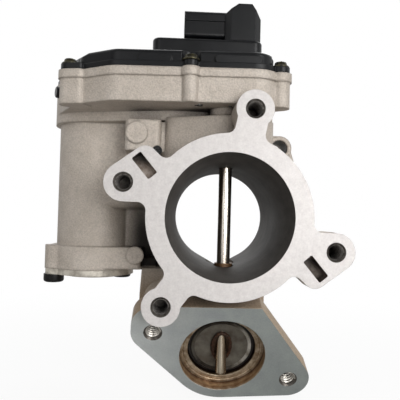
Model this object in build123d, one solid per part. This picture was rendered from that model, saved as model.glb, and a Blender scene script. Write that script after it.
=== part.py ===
from build123d import *
import os
from math import acos, asin, cos, pi, radians, sin, sqrt, tan

# Exhaust gas recirculation valve with an electric actuator.
# Millimetres. +Z is up along the flap shaft, the air flange faces -Y, and the origin is the centre of
# the air bore on the machined face of that flange.

# ---- Air duct and its front flange -------------------------------------------------------------
MOUTH_R = 28.0            # bore radius at the front face
BORE_R = 23.5             # bore radius past the taper
TAPER_END = 26.0          # depth at which the taper becomes the bore
DUCT_DEPTH = 65.0         # front face to rear face
DUCT_WALL = 5.0
RING_R = 36.2             # round part of the front flange
FLANGE_T = 9.0
EAR_PITCH_R = 48.0        # the four tapped ears lie on this circle
EAR_R = 8.3
EAR_NECK = 13.4
POCKET_EAR_ANGLES = (163.2, 343.2)   # opposite ears with a rectangular pocket beside the hole
PLAIN_EAR_ANGLES = (78.3, 233.4)
TAPPED_R = 3.4            # tapping bore of an M8 thread
TAPPED_DEPTH = 18.0
CHAMFER = 0.9
EAR_BOSS_DEPTH = 22.0     # the ears run back past the flange to carry their threads
EAR_BOSS_STEP = 0.2       # they are this much wider there, so no ear overhangs the exhaust face
POCKET = (11.4, 4.8)
POCKET_RADIUS_PLACE = 42.7
POCKET_ANGLE_OFF = -12.8  # pocket centre, measured round from the ear's hole
POCKET_TURN = 146.8       # long side of the pocket, measured from the ear's own direction
POCKET_DEPTH = 7.8
POCKET_SIDE = (0.7, -3.1, 5.3)       # round beside the pocket, from its centre: along, across and radius
POCKET_ROOT = ((32.8, -8.0, 5.2), (35.2, -2.6, 7.2))   # rounds where that ear meets the ring
CONCAVE_SHARE = 0.305     # radius where an ear meets the ring, of the width between ring and pitch circle

# ---- Rear flange -------------------------------------------------------------------------------
REAR_PITCH_R = 47.0
REAR_EAR_R = 8.2
REAR_BOSS_R = 6.4
REAR_ANGLES = (51.0, 141.0, 231.0, 343.0)
REAR_HOLE_R = 4.3
REAR_T = 8.0
REAR_BOSS_FROM = 46.0     # each rear hole runs through a boss that starts here

# ---- Exhaust port ------------------------------------------------------------------------------
PORT_TILT = 25.0          # how far the port faces down from the horizontal
SHAFT_Y = 28.0            # flap shaft, behind the front face, on the bore's centre plane
DISC_Z = -61.2            # centre of the flap, on the shaft
DISC_DEPTH = 8.0          # centre of the flap below the port's face
PLATE_T = 10.0
PORT_BOLT_HALF = 34.7     # half the distance between the port's tapped holes
PORT_BOLT_TURN = -22.0
PORT_EAR_R = 10.0
PORT_LOBE_R = 24.6
PORT_SHOULDERS = ((5.0, 21.0, 12.5), (-31.5, 16.5, 10.5))   # upper corners: place and radius
PORT_TOP = 27.0           # the plate ends at this height above the port's centre
RECESS_R = 20.0
RECESS_DEPTH = 6.0
SLEEVE_LIP = 1.5
SLEEVE_IN_R = 16.0
SLEEVE_OUT_R = 17.8
SLEEVE_END = 21.0         # depth of the sleeve's inner end
CHAMBER_R = 15.5
CHAMBER_DEPTH = 24.0      # centre of the chamber's round end
CHAMBER_WALL = 5.0
RISER = (25.0, 36.5, 59.0)       # duct up to the air bore: width, front and back in Y
RISER_WALL = 5.0
RISER_SHOULDER = (21.5, 30.0, 52.0)   # wide part of its outside: half width, front and back in Y
NOTCH_ANGLE = 29.0        # the riser opens into the bore's floor along a V this steep
NOTCH_START = 38.0

# ---- Flap shaft --------------------------------------------------------------------------------
SHAFT_R = 3.1
SHAFT_TIP_R = 2.6         # turned down inside the port
SHAFT_STEP_Z = -39.6
SHAFT_TIP_Z = -74.4
SHAFT_TOP_Z = 72.6
SHAFT_FIT = 0.03          # radial running clearance
DISC_T = 2.0
DISC_GAP = 0.15           # between the flap's rim and its sleeve
BUSH_OUT_R = 5.0
BUSH_END_Z = -38.4
BUSH_LIP_R = 4.3
BUSH_LIP_H = 1.6
BEARING_R = 6.0
BEARING_LEN = 10.0
SEAL_LEN = 5.0
SHAFT_TUNNEL_GAP = 0.5

# ---- Gear tray ---------------------------------------------------------------------------------
JOINT_Z = 67.0            # the cover's joint face
LIP_Z = 63.0              # underside of the thicker lip
LIP_PROUD = 0.8
TRAY_BOTTOM_Z = 51.4
TIER_Z = 46.6             # second, smaller step under the tray
FLOOR_Z = 53.0
TRAY_WALL = 3.0
TRAY_FRONT_Y = 10.0
FRONT_SETBACK = 2.5       # the front wall lies this much further back at its left end
FRONT_LEFT_X = -50.0
CORNER_R = 12.0
TRAY_RIGHT_X = 23.2
TRAY_BACK_Y = 70.0        # back of the tray behind the shaft
TRAY_LEFT_CORNER = (-66.0, 29.0, 7.5)     # its place and radius
LEFT_RIB = (-70.2, 22.9, 2.6)        # the left front column widens to this round
WELL_TRAY_R = 22.0        # the tray wraps the motor with this radius
LAST_COLUMN_ANGLE = 122.0            # of the column behind the motor, seen from the motor
EAR_COLUMN_R = 4.5
MID_COLUMN_R = 3.6
SCREW_R = 2.0
SCREW_HEAD_R = 4.0
SCREW_HEAD_H = 2.8
SCREW_LEN = 16.0
SCREW_FIT = 0.05

# ---- Neck and webs -----------------------------------------------------------------------------
NECK = (                             # rounds that the neck's outline wraps, in plan
    (-21.5, 37.0, 9.5),
    (0.0, SHAFT_Y + 0.5, 9.7),
    (14.8, 38.0, 9.7),
    (14.8, 50.0, 9.7),
    (-21.5, 52.0, 9.5),
)
NECK_LOW = 8.0
PAD = (-48.7, -31.5, 26.0, 30.8, 45.6)     # flat pad beside the neck: x from, x to, front in Y, low, high
PAD_DISC = (-43.0, 39.2, 5.3)        # round spot face on it: x, z and radius
FLANGE_BLOCK = (-60.0, -39.8, 44.0, 64.0)   # thick side of the motor's bottom flange: x and y
FLANGE_DISC = (-43.6, -20.7, 4.5)    # round spot face on that: x, z and radius
WELL_WEB = (-66.0, -30.0, 45.4, 3.0, 5.0)   # web level with the well's front: x, front, low, corner
REAR_WEB = (-55.0, -30.0, 56.0, -24.0)      # thinner web under it, at the rear: x, front, low
PORT_WEB_X = (-39.8, -27.0)          # web from the exhaust flange's left ear up to the motor well
PORT_WEB_SIDE = ((32.0, -50.0), (32.0, -38.0), (43.0, -27.0), (57.0, -27.0), (57.0, -50.0))   # in Y and Z
PLUG_PLACE = (-33.1, 30.8)           # small screw beside the pad, in X and Z
PLUG_Y = 27.6
PLUG_R = 2.4

VENT_SHARE = 0.72         # the vent's place along the tray's left side wall, from its front end
VENT_Z = 61.5
VENT_BOSS = (3.8, 1.0)    # radius and height of the boss that it sits on
VENT_CAP = (2.9, 2.6)     # radius and height of its cap
VENT_STEM = (1.8, 4.4)    # radius and length of its stem
VENT_BORE_R = 0.8
VENT_SLOT = (1.2, 0.8)    # width and height of the air slots under its cap

# ---- Gear train --------------------------------------------------------------------------------
MODULE = 1.0
PRESSURE = radians(25.0)
ADDENDUM = 0.9
DEDENDUM = 1.15
BACKLASH = 0.2
TRAVEL = 70.0             # flap shaft, closed to open
SECTOR_VIRTUAL = 50       # teeth that a full sector gear would have
SECTOR_TEETH = 14
PINION_TEETH = 13
WHEEL_TEETH = 46
IDLER_TEETH = 24
MOTOR_TEETH = 12
COMPOUND_DIRECTION = 126.0       # from the flap shaft
IDLER_DIRECTION = 180.4          # from the compound gear
MOTOR_DIRECTION = 141.4          # from the idler
SPRING_Z = 53.4
SECTOR_Z = 59.0
SECTOR_T = 4.0
SECTOR_HUB_R = 6.6
WHEEL_Z = 64.2
WHEEL_T = 5.2
PIN_R = 2.5
PIN_TOP_Z = 73.4
GEAR_GAP = 0.3            # between faces that turn past each other
STOP_R = 2.0
STOP_PLACE_R = 18.0
STOP_SEAT = 2.0           # how far the stop pins stand in the floor
SPRING_R = 10.4
SPRING_WIRE = 1.1
SPRING_TURNS = 2.6
TANG_ANGLE = 128.0        # where the spring's moving leg stands, closed

# ---- Motor -------------------------------------------------------------------------------------
MOTOR_R = 17.5
CAN_TOP_Z = 42.0
CAN_BOTTOM_Z = -25.4
CAN_WALL = 1.2
WELL_GAP = 0.3
WELL_R = 19.6             # outside of the motor well
WELL_FLANGE_Z = (-28.9, -16.8)
WELL_FLANGE_R = 22.0
WELL_SCREW_PITCH_R = 21.2
WELL_SCREW_ANGLES = (207.0, 128.0, 50.0)
WELL_EAR_R = 4.8
WELL_SCREW_HEAD_R = 5.2
WELL_SCREW_HEAD_H = 4.2
NOSE_R = 8.0
MOTOR_SHAFT_R = 1.6
MAGNET_IN_R = 13.9
ARMATURE_R = 13.2
COVER_PLATE_T = 3.6

# ---- Cover and connector -----------------------------------------------------------------------
GASKET_T = 0.5
COVER_FLANGE_T = 2.6
DOME_INSET = 2.2
DOME_TOP_Z = 75.8
COVER_WALL = 2.0
SLOPE_START = (-64.5, 22.0, 75.9)   # the dome falls away to the front left from this point
SLOPE_DIRECTION = 215.0
SLOPE_ANGLE = 40.0
PLATEAU = (-36.6, 16.0, 23.0, 70.0, 84.7)   # x from, x to, y from, y to, top
BAR_Z = (69.6, 73.8)      # raised bars on the cover's front wall
BARS_X = ((-42.4, -27.0), (-7.5, 14.0))
BAR_PROUD = 0.9
SHROUD = (-21.7, 1.0, 28.0, 48.0, 87.0, 100.0)   # x from, x to, y from, y to, z from, z to
SOCKET_WALL = 1.9
SOCKET_DEPTH = 15.0
TOWER = (-2.0, 15.3, 24.5, 52.0, 102.8)     # x from, x to, y from, y to, top
TOWER_CHAMFER = (6.2, 4.4)
TERMINALS = 5
TERMINAL = 1.3

# ---- Places worked out from the sizes above ----------------------------------------------------
TILT = radians(PORT_TILT)
PORT_NORMAL = Vector(0, -cos(TILT), -sin(TILT))
SHAFT = Vector(0, SHAFT_Y, 0)
DISC_CENTRE = Vector(0, SHAFT_Y, DISC_Z)
PORT = Plane(origin=DISC_CENTRE + PORT_NORMAL * DISC_DEPTH, x_dir=(1, 0, 0), z_dir=PORT_NORMAL)
UPRIGHT = (Align.CENTER, Align.CENTER, Align.MIN)


def polar(centre, distance, angle):
    """The point at a distance and an angle in degrees from a centre, in plan."""
    return Vector(centre.X + distance * cos(radians(angle)), centre.Y + distance * sin(radians(angle)), 0)


def pitch_radius(teeth):
    return MODULE * teeth / 2


COMPOUND = polar(SHAFT, pitch_radius(SECTOR_VIRTUAL) + pitch_radius(PINION_TEETH), COMPOUND_DIRECTION)
IDLER = polar(COMPOUND, pitch_radius(WHEEL_TEETH) + pitch_radius(IDLER_TEETH), IDLER_DIRECTION)
MOTOR = polar(IDLER, pitch_radius(IDLER_TEETH) + pitch_radius(MOTOR_TEETH), MOTOR_DIRECTION)

# Cover screws: place in plan and radius of the column that takes each.
COLUMNS = (
    (Vector(23.7, 18.0), EAR_COLUMN_R),
    (Vector(-75.3, 26.0), EAR_COLUMN_R),
    (Vector(-18.3, 11.6), MID_COLUMN_R),
    (Vector(24.2, 63.0), EAR_COLUMN_R),
    (Vector(-42.0, 88.6), EAR_COLUMN_R),
    (polar(MOTOR, WELL_TRAY_R + 2.6, LAST_COLUMN_ANGLE), EAR_COLUMN_R),
)
WELL_SCREWS = [polar(MOTOR, WELL_SCREW_PITCH_R, angle) for angle in WELL_SCREW_ANGLES]


# ---- Shapes used by several pieces -------------------------------------------------------------
def post(radius, low, high, place=Vector(0, 0, 0)):
    """An upright cylinder between two heights."""
    return Pos(place.X, place.Y, low) * Cylinder(radius, high - low, align=UPRIGHT)


def tube(outer, inner, low, high, place=Vector(0, 0, 0)):
    """An upright ring between two heights."""
    return post(outer, low, high, place) - post(inner, low - 1, high + 1, place)


def block(x_from, x_to, y_from, y_to, z_from, z_to):
    """A box given by its sides."""
    return Pos(x_from, y_from, z_from) * Box(
        x_to - x_from, y_to - y_from, z_to - z_from, align=(Align.MIN, Align.MIN, Align.MIN)
    )


def between(start, end, radius):
    """A round on the way from one place to another, as wrap takes it."""
    place = start * 0.7 + end * 0.3
    return place.X, place.Y, radius


def slab(sketch, low, high):
    """A sketch in plan, raised between two heights."""
    return extrude(Pos(0, 0, low) * sketch, high - low)


def front_slab(sketch, near, far):
    """A sketch in X and Z, running from one depth behind the front face to another."""
    plane = Plane(origin=(0, far, 0), x_dir=(1, 0, 0), z_dir=(0, -1, 0))
    return extrude(plane * sketch, far - near)


def port_slab(sketch, depth_from, depth_to):
    """A sketch in the exhaust port's face, running from one depth into the port to another."""
    return extrude(PORT.offset(-depth_to) * sketch, depth_to - depth_from)


def disc(radius, x=0.0, y=0.0):
    return Pos(x, y) * Circle(radius)


def wrap(circles):
    """The outline that a taut belt makes round circles given as (x, y, radius)."""
    edges = []
    for x, y, radius in circles:
        edges += disc(radius, x, y).edges()
    return make_hull(edges)


def concave_fillet(sketch, radius, near, reach):
    """Rounds the corners of a sketch that lie within a reach of the given distance from its origin."""
    corners = [v for v in sketch.vertices() if abs(sqrt(v.X**2 + v.Y**2) - near) < reach]
    return fillet(corners, radius) if corners else sketch


# ---- Housing -----------------------------------------------------------------------------------
def plain_ear(angle, pitch, radius, neck):
    """An ear that reaches out from the origin to its hole."""
    arm = Pos(pitch / 2, 0) * Rectangle(pitch, neck) + disc(radius, pitch)
    return Rot(0, 0, angle) * arm


def pocket_ear(angle):
    """The ear whose outline also goes round the pocket beside its hole."""
    pocket = polar(Vector(0, 0, 0), POCKET_RADIUS_PLACE, POCKET_ANGLE_OFF)
    outline = wrap(
        [
            (EAR_PITCH_R, 0, EAR_R),
            (pocket.X + POCKET_SIDE[0], pocket.Y + POCKET_SIDE[1], POCKET_SIDE[2]),
            *POCKET_ROOT,
        ]
    )
    return Rot(0, 0, angle) * outline


def pocket_cut(angle):
    pocket = polar(Vector(0, 0, 0), POCKET_RADIUS_PLACE, POCKET_ANGLE_OFF)
    outline = RectangleRounded(POCKET[0], POCKET[1], 0.7)
    return Rot(0, 0, angle) * Pos(pocket.X, pocket.Y) * Rot(0, 0, POCKET_TURN) * outline


def air_flange():
    """The front flange: a ring with four ears, and a boss behind each ear for its thread."""
    outline = disc(RING_R)
    for angle in PLAIN_EAR_ANGLES:
        outline += plain_ear(angle, EAR_PITCH_R, EAR_R, EAR_NECK)
    for angle in POCKET_EAR_ANGLES:
        outline += pocket_ear(angle)
    outline = concave_fillet(outline, CONCAVE_SHARE * (EAR_PITCH_R - RING_R), RING_R, 1.5)
    flange = front_slab(outline, 0, FLANGE_T)
    for angle in PLAIN_EAR_ANGLES + POCKET_EAR_ANGLES:
        hole = polar(Vector(0, 0, 0), EAR_PITCH_R, angle)
        flange += front_slab(disc(EAR_R + EAR_BOSS_STEP, hole.X, hole.Y), FLANGE_T - 0.6, EAR_BOSS_DEPTH)
    return flange


def duct_wall():
    """The outside of the air duct, wider behind the flange where the bore is tapered."""
    profile = Polyline(
        (0, 1),
        (MOUTH_R + DUCT_WALL, 1),
        (MOUTH_R + DUCT_WALL, FLANGE_T),
        (BORE_R + DUCT_WALL, TAPER_END),
        (BORE_R + DUCT_WALL, DUCT_DEPTH - 1),
        (0, DUCT_DEPTH - 1),
        close=True,
    )
    return revolve(make_face(profile), Axis.Y)


def air_bore():
    """The bore: a mouth that narrows on one arc to the plain bore."""
    taper = TangentArc((BORE_R, TAPER_END), (MOUTH_R, 0), tangent=(0, -1))
    rest = Polyline(
        (MOUTH_R, 0),
        (MOUTH_R, -1),
        (0, -1),
        (0, DUCT_DEPTH + 1),
        (BORE_R, DUCT_DEPTH + 1),
        (BORE_R, TAPER_END),
    )
    return revolve(make_face([taper, *rest.edges()]), Axis.Y)


def rear_flange():
    """The rear flange, a four-cornered plate with a long bolt boss in each corner, and its holes."""
    corners = [polar(Vector(0, 0, 0), REAR_PITCH_R, angle) for angle in REAR_ANGLES]
    plate = wrap([(p.X, p.Y, REAR_EAR_R) for p in corners])
    holes = [disc(REAR_HOLE_R, p.X, p.Y) for p in corners]
    body = front_slab(plate, DUCT_DEPTH - REAR_T, DUCT_DEPTH)
    for p in corners:
        body += front_slab(disc(REAR_BOSS_R, p.X, p.Y), REAR_BOSS_FROM, DUCT_DEPTH - 1)
    return body, [front_slab(hole, REAR_BOSS_FROM - 1, DUCT_DEPTH + 1) for hole in holes]


def port_bolt(side):
    """Centre of a tapped hole in the port's face, for side -1 or 1."""
    angle = radians(PORT_BOLT_TURN)
    return side * PORT_BOLT_HALF * cos(angle), side * PORT_BOLT_HALF * sin(angle)


def exhaust_body():
    """The tilted exhaust flange, the round body behind it and the riser up to the air duct."""
    ears = [(*port_bolt(side), PORT_EAR_R) for side in (-1, 1)]
    outline = wrap([*ears, (0, 0, PORT_LOBE_R), *PORT_SHOULDERS])
    outline -= Pos(0, PORT_TOP + PORT_LOBE_R) * Rectangle(6 * PORT_LOBE_R, 2 * PORT_LOBE_R)
    plate = port_slab(outline, 0, PLATE_T)
    outer_r = CHAMBER_R + CHAMBER_WALL
    body = plate + port_slab(disc(outer_r), 1, CHAMBER_DEPTH)
    end = PORT.origin - PORT_NORMAL * CHAMBER_DEPTH
    body += Pos(end) * Sphere(outer_r)
    for side in (-1, 1):
        body += port_slab(disc(TAPPED_R + 3, *port_bolt(side)), 1, TAPPED_DEPTH + 2)
    width, near, far = RISER
    x = width / 2 + RISER_WALL
    riser = block(-x, x, near - RISER_WALL, far + RISER_WALL - 0.5, end.Z, -BORE_R + 2)
    body += fillet(riser.edges().filter_by(Axis.Z), 7)
    half, front, back = RISER_SHOULDER
    shoulder = block(-half, half, front, back, end.Z, -BORE_R + 2)
    body += fillet(shoulder.edges().filter_by(Axis.Z), 7)
    body += post(BUSH_OUT_R + 3, end.Z, -BORE_R + 2, SHAFT)
    return body


def exhaust_cut():
    """Everything hollow behind the port's face."""
    cut = port_slab(disc(RECESS_R), -1, RECESS_DEPTH)
    cut += port_slab(disc(SLEEVE_OUT_R), 0, SLEEVE_END)
    cut += port_slab(disc(CHAMBER_R), 0, CHAMBER_DEPTH)
    end = PORT.origin - PORT_NORMAL * CHAMBER_DEPTH
    cut += Pos(end) * Sphere(CHAMBER_R)
    width, near, far = RISER
    riser = block(-width / 2, width / 2, near, far, end.Z, -BORE_R + 0.5)
    cut += fillet(riser.edges().filter_by(Axis.Z), 5)
    across = BORE_R * sin(radians(NOTCH_ANGLE))
    shoulder = -BORE_R * cos(radians(NOTCH_ANGLE))
    apex = -BORE_R / cos(radians(NOTCH_ANGLE))
    notch = make_face(Polyline((-across, shoulder), (0, apex), (across, shoulder), (0, 0), close=True))
    return cut + front_slab(notch, NOTCH_START, DUCT_DEPTH + 1)


def tray_outline(grow=0.0):
    """The gear tray in plan, without its screw columns."""
    wheel_room = pitch_radius(WHEEL_TEETH) + ADDENDUM + 1.1 + TRAY_WALL
    return wrap(
        [
            (TRAY_RIGHT_X - CORNER_R, TRAY_FRONT_Y + CORNER_R, CORNER_R + grow),
            (FRONT_LEFT_X, TRAY_FRONT_Y + FRONT_SETBACK + CORNER_R, CORNER_R + grow),
            (*TRAY_LEFT_CORNER[:2], TRAY_LEFT_CORNER[2] + grow),
            (MOTOR.X, MOTOR.Y, WELL_TRAY_R + grow),
            (COMPOUND.X, COMPOUND.Y, wheel_room + grow),
            (TRAY_RIGHT_X - CORNER_R, TRAY_BACK_Y - CORNER_R, CORNER_R + grow),
        ]
    )


def front_wall_y(x):
    """Depth of the tray's front wall, which runs back evenly towards its left end."""
    right = TRAY_RIGHT_X - CORNER_R
    return TRAY_FRONT_Y + FRONT_SETBACK * (right - x) / (right - FRONT_LEFT_X)


def columns(grow=0.0):
    """The screw columns in plan, joined to the tray by short necks."""
    shape = None
    for place, radius in COLUMNS:
        inward = (Vector(-20, 45) - place).normalized() * 6
        neck = wrap(
            [(place.X, place.Y, radius + grow), (place.X + inward.X, place.Y + inward.Y, radius + grow)]
        )
        shape = neck if shape is None else shape + neck
    left, radius = COLUMNS[1]
    x, y, rib_r = LEFT_RIB
    return shape + wrap([(left.X, left.Y, radius + grow), (x, y, rib_r + grow)])


def vent_plane():
    """The vent's seat on the tray's left side wall, facing out."""
    corner, corner_r = Vector(*TRAY_LEFT_CORNER[:2]), TRAY_LEFT_CORNER[2]
    along = MOTOR - corner
    lean = asin((WELL_TRAY_R - corner_r) / along.length)
    step = along.normalized()
    out = Vector(-step.Y, step.X) * cos(lean) - step * sin(lean)
    foot = (corner + out * corner_r) * (1 - VENT_SHARE) + (MOTOR + out * WELL_TRAY_R) * VENT_SHARE
    seat = foot + out * VENT_BOSS[1]
    return Plane(origin=(seat.X, seat.Y, VENT_Z), x_dir=(0, 0, 1), z_dir=out)


def joint_outline(grow=0.0):
    return tray_outline(grow) + columns(grow)


def tray_inside(clear=0.0):
    """The hollow of the tray in plan, kept clear of the screw columns."""
    inside = tray_outline(-TRAY_WALL - clear)
    for place, radius in COLUMNS:
        inside -= disc(radius + 1.2 + clear, place.X, place.Y)
    return inside


def tray():
    """The open gear tray with its lip, and the smaller step under it."""
    body = slab(tray_outline(), TRAY_BOTTOM_Z, JOINT_Z) + slab(columns(), TRAY_BOTTOM_Z - 0.4, JOINT_Z)
    body += slab(joint_outline(LIP_PROUD), LIP_Z, JOINT_Z)
    radius, height = VENT_BOSS
    boss = Cylinder(radius, height + TRAY_WALL / 2, align=(Align.CENTER, Align.CENTER, Align.MAX))
    body += vent_plane() * boss
    tier = wrap(
        [
            (MOTOR.X, MOTOR.Y, WELL_TRAY_R),
            (COMPOUND.X - 6, COMPOUND.Y, 22.0),
            (TRAY_RIGHT_X - CORNER_R, 46.0, CORNER_R),
            (TRAY_RIGHT_X - CORNER_R, 56.0, CORNER_R),
        ]
    )
    return body + slab(tier, TIER_Z, TRAY_BOTTOM_Z + 1)


def neck():
    """The thick web between the tray and the air duct, with the shaft's boss in its front."""
    web = slab(wrap(NECK), NECK_LOW, TIER_Z + 1)
    left, right, front, low, high = PAD
    pad = block(left, right, front, front + 16, low, high)
    pad = fillet(pad.edges().filter_by(Axis.Z).group_by(Axis.Y)[0], 2.5)
    web += pad + block(right - 4.5, right + 5.5, front + 6, front + 16, low, high)
    x, z, radius = PAD_DISC
    web += front_slab(disc(radius, x, z), front - 1, front + 4)
    return web


def motor_well():
    """The round well for the motor, its bottom flange with three screw ears, and the webs beside it."""
    low, high = WELL_FLANGE_Z
    well = post(WELL_R, low, TIER_Z + 1, MOTOR)
    outline = disc(WELL_FLANGE_R, MOTOR.X, MOTOR.Y)
    for place in WELL_SCREWS:
        outline += wrap([(place.X, place.Y, WELL_EAR_R), between(place, MOTOR, 9.0)])
    well += slab(outline, low, high)
    left, right, front, back = FLANGE_BLOCK
    side = block(left, right, front, back, low + 1.0, high)
    side = fillet(side.edges().group_by(Axis.X)[-1].filter_by(Axis.Y, reverse=True), 3.0)
    well += side
    x, z, radius = FLANGE_DISC
    well += front_slab(disc(radius, x, z), front - 1, front + 2)
    left, right, front, bottom, corner = WELL_WEB
    web = block(left, right, front, DUCT_DEPTH - 1.5, bottom, TIER_Z + 1)
    well += fillet(web.edges().filter_by(Axis.X).group_by(Axis.Z)[0].sort_by(Axis.Y)[0], corner)
    left, right, front, bottom = REAR_WEB
    well += block(left, right, front, DUCT_DEPTH - 1.5, bottom, TIER_Z + 1)
    return well


def port_web():
    """The web that ties the exhaust flange's left ear to the motor well."""
    left, right = PORT_WEB_X
    side = make_face(Polyline(*PORT_WEB_SIDE, close=True))
    return extrude(Plane.YZ.offset(left) * side, right - left)


def motor_room():
    """The hollow that takes the motor, and its nose through the tray's floor."""
    low = WELL_FLANGE_Z[0]
    room = post(MOTOR_R + WELL_GAP, low - 1, CAN_TOP_Z + 0.2, MOTOR)
    return room + post(NOSE_R + WELL_GAP, CAN_TOP_Z, FLOOR_Z + 1, MOTOR)


def valve_housing():
    """The whole casting."""
    rear, rear_holes = rear_flange()
    body = air_flange() + duct_wall() + rear + exhaust_body()
    body += tray() + neck() + motor_well() + port_web()
    body -= slab(tray_inside(), FLOOR_Z, JOINT_Z + 1)
    for place in (COMPOUND, IDLER):
        body += post(PIN_R + 2.5, TRAY_BOTTOM_Z, FLOOR_Z + 1.2, place)
    body += post(BEARING_R + 2.2, NECK_LOW, FLOOR_Z + 1.6, SHAFT)
    body -= air_bore() + exhaust_cut()
    body -= motor_room()
    body -= tapped_holes()
    for hole in rear_holes:
        body -= hole
    body -= shaft_tunnel()
    for place, _ in COLUMNS:
        body -= post(SCREW_R + SCREW_FIT, JOINT_Z - SCREW_LEN + 2, JOINT_Z + 1, place)
    for place in WELL_SCREWS:
        body -= post(SCREW_R + SCREW_FIT, WELL_FLANGE_Z[0] - 1, WELL_FLANGE_Z[0] + 11, place)
    body -= vent_plane() * Cylinder(VENT_STEM[0] + SCREW_FIT, 2 * VENT_STEM[1] + 2)
    for place in (COMPOUND, IDLER):
        body -= post(PIN_R, TRAY_BOTTOM_Z - 1.4, JOINT_Z, place)
    for place in stop_places():
        body -= post(STOP_R, FLOOR_Z - STOP_SEAT, JOINT_Z, place)
    for blade in motor_contacts(0.15):
        body -= blade
    body -= front_slab(disc(PLUG_R, *PLUG_PLACE), PAD[2] - 6, PLUG_Y)
    return body


def tapped_holes():
    """Blind tapped holes of both flanges with their chamfers, and the pockets beside two of them."""
    cut = None
    for angle in PLAIN_EAR_ANGLES + POCKET_EAR_ANGLES:
        hole = polar(Vector(0, 0, 0), EAR_PITCH_R, angle)
        drill = front_slab(disc(TAPPED_R, hole.X, hole.Y), -1, TAPPED_DEPTH)
        sink = Pos(hole.X, 0, hole.Y) * Rot(90, 0, 0) * Cone(
            TAPPED_R, TAPPED_R + CHAMFER, CHAMFER, align=(Align.CENTER, Align.CENTER, Align.MAX)
        )
        cut = drill + sink if cut is None else cut + drill + sink
    for angle in POCKET_EAR_ANGLES:
        cut += front_slab(pocket_cut(angle), -1, POCKET_DEPTH)
    for side in (-1, 1):
        x, y = port_bolt(side)
        cut += port_slab(disc(TAPPED_R, x, y), -1, TAPPED_DEPTH)
        sink = Cone(TAPPED_R, TAPPED_R + CHAMFER, CHAMFER, align=(Align.CENTER, Align.CENTER, Align.MAX))
        cut += PORT * Pos(x, y, 0) * sink
    return cut


def shaft_tunnel():
    """The stepped hole for the shaft, its bearing, its seal and its lower bush."""
    cut = post(BEARING_R, FLOOR_Z - BEARING_LEN - SEAL_LEN, FLOOR_Z + 2, SHAFT)
    cut += post(SHAFT_R + SHAFT_TUNNEL_GAP, DISC_Z, JOINT_Z, SHAFT)
    return cut + post(BUSH_OUT_R, BUSH_END_Z, -BORE_R + 2, SHAFT)


# ---- Flap and its bearings ---------------------------------------------------------------------
def port_sleeve():
    """The sleeve that the flap closes against, with a lip at its outer end."""
    lip_from = RECESS_DEPTH - SLEEVE_LIP
    sleeve = port_slab(disc(RECESS_R), lip_from, RECESS_DEPTH)
    sleeve += port_slab(disc(SLEEVE_OUT_R), RECESS_DEPTH - 0.5, SLEEVE_END)
    sleeve -= port_slab(disc(SLEEVE_IN_R), 0, SLEEVE_END + 1)
    lip_edges = sleeve.edges().filter_by(GeomType.CIRCLE).sort_by(Axis(PORT.origin, -PORT_NORMAL))
    inner = [e for e in lip_edges if abs(e.radius - SLEEVE_IN_R) < 0.01][0]
    sleeve = fillet(inner, 0.9)
    return sleeve - post(SHAFT_R + SHAFT_TUNNEL_GAP, DISC_Z, 0, SHAFT)


def flap_disc():
    """The flap, with a rim rounded to a sphere so that it swings clear of the sleeve, and its weld."""
    ball = Pos(DISC_CENTRE) * Sphere(SLEEVE_IN_R - DISC_GAP)
    plate = port_slab(disc(SLEEVE_IN_R), DISC_DEPTH - DISC_T / 2, DISC_DEPTH + DISC_T / 2) & ball
    bead = port_slab(Ellipse(SHAFT_TIP_R + 1.6, SHAFT_TIP_R + 4.6), DISC_DEPTH - 2.6, DISC_DEPTH + 2.6)
    bead = chamfer(bead.edges(), 1.0)
    return plate + bead - post(SHAFT_TIP_R, SHAFT_TIP_Z - 1, 0, SHAFT)


def flap_shaft():
    """The shaft, turned down inside the port and flattened for its gear at the top."""
    shaft = post(SHAFT_R, SHAFT_STEP_Z, SHAFT_TOP_Z - 6, SHAFT)
    shaft += post(SHAFT_TIP_R, SHAFT_TIP_Z, SHAFT_STEP_Z, SHAFT)
    shaft += post(SHAFT_R - 0.6, SHAFT_TOP_Z - 6, SHAFT_TOP_Z, SHAFT)
    ends = shaft.edges().filter_by(GeomType.CIRCLE).sort_by(Axis.Z)
    return chamfer([ends[0], ends[-1]], 0.6)


def lower_guide_bush():
    """Bronze bush below the air bore, whose lip shows as a collar round the shaft."""
    bush = post(BUSH_OUT_R, BUSH_END_Z, -BORE_R - 0.2, SHAFT)
    bush += post(BUSH_LIP_R, -BORE_R - 0.5, -BORE_R + BUSH_LIP_H, SHAFT)
    return bush - post(SHAFT_R + SHAFT_FIT, SHAFT_STEP_Z, 0, SHAFT)


def upper_shaft_bearing():
    return tube(BEARING_R, SHAFT_R + SHAFT_FIT, FLOOR_Z - BEARING_LEN, FLOOR_Z + 0.4, SHAFT)


def shaft_seal():
    """Lip seal below the upper bearing."""
    low = FLOOR_Z - BEARING_LEN - SEAL_LEN
    seal = tube(BEARING_R, SHAFT_R + 0.08, low, low + SEAL_LEN - 0.1, SHAFT)
    groove = Pos(SHAFT.X, SHAFT.Y, low) * Torus(SHAFT_R + 1.5, 0.8)
    return seal - groove


# ---- Gears -------------------------------------------------------------------------------------
def flank(teeth, radius):
    """Half the angle of a tooth at a radius, on its involute."""
    pitch = pitch_radius(teeth)
    base = pitch * cos(PRESSURE)
    here = acos(min(1.0, base / radius))
    at_pitch = (pi * MODULE / 2 - BACKLASH / 2) / 2 / pitch
    return at_pitch + (tan(PRESSURE) - PRESSURE) - (tan(here) - here)


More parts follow.
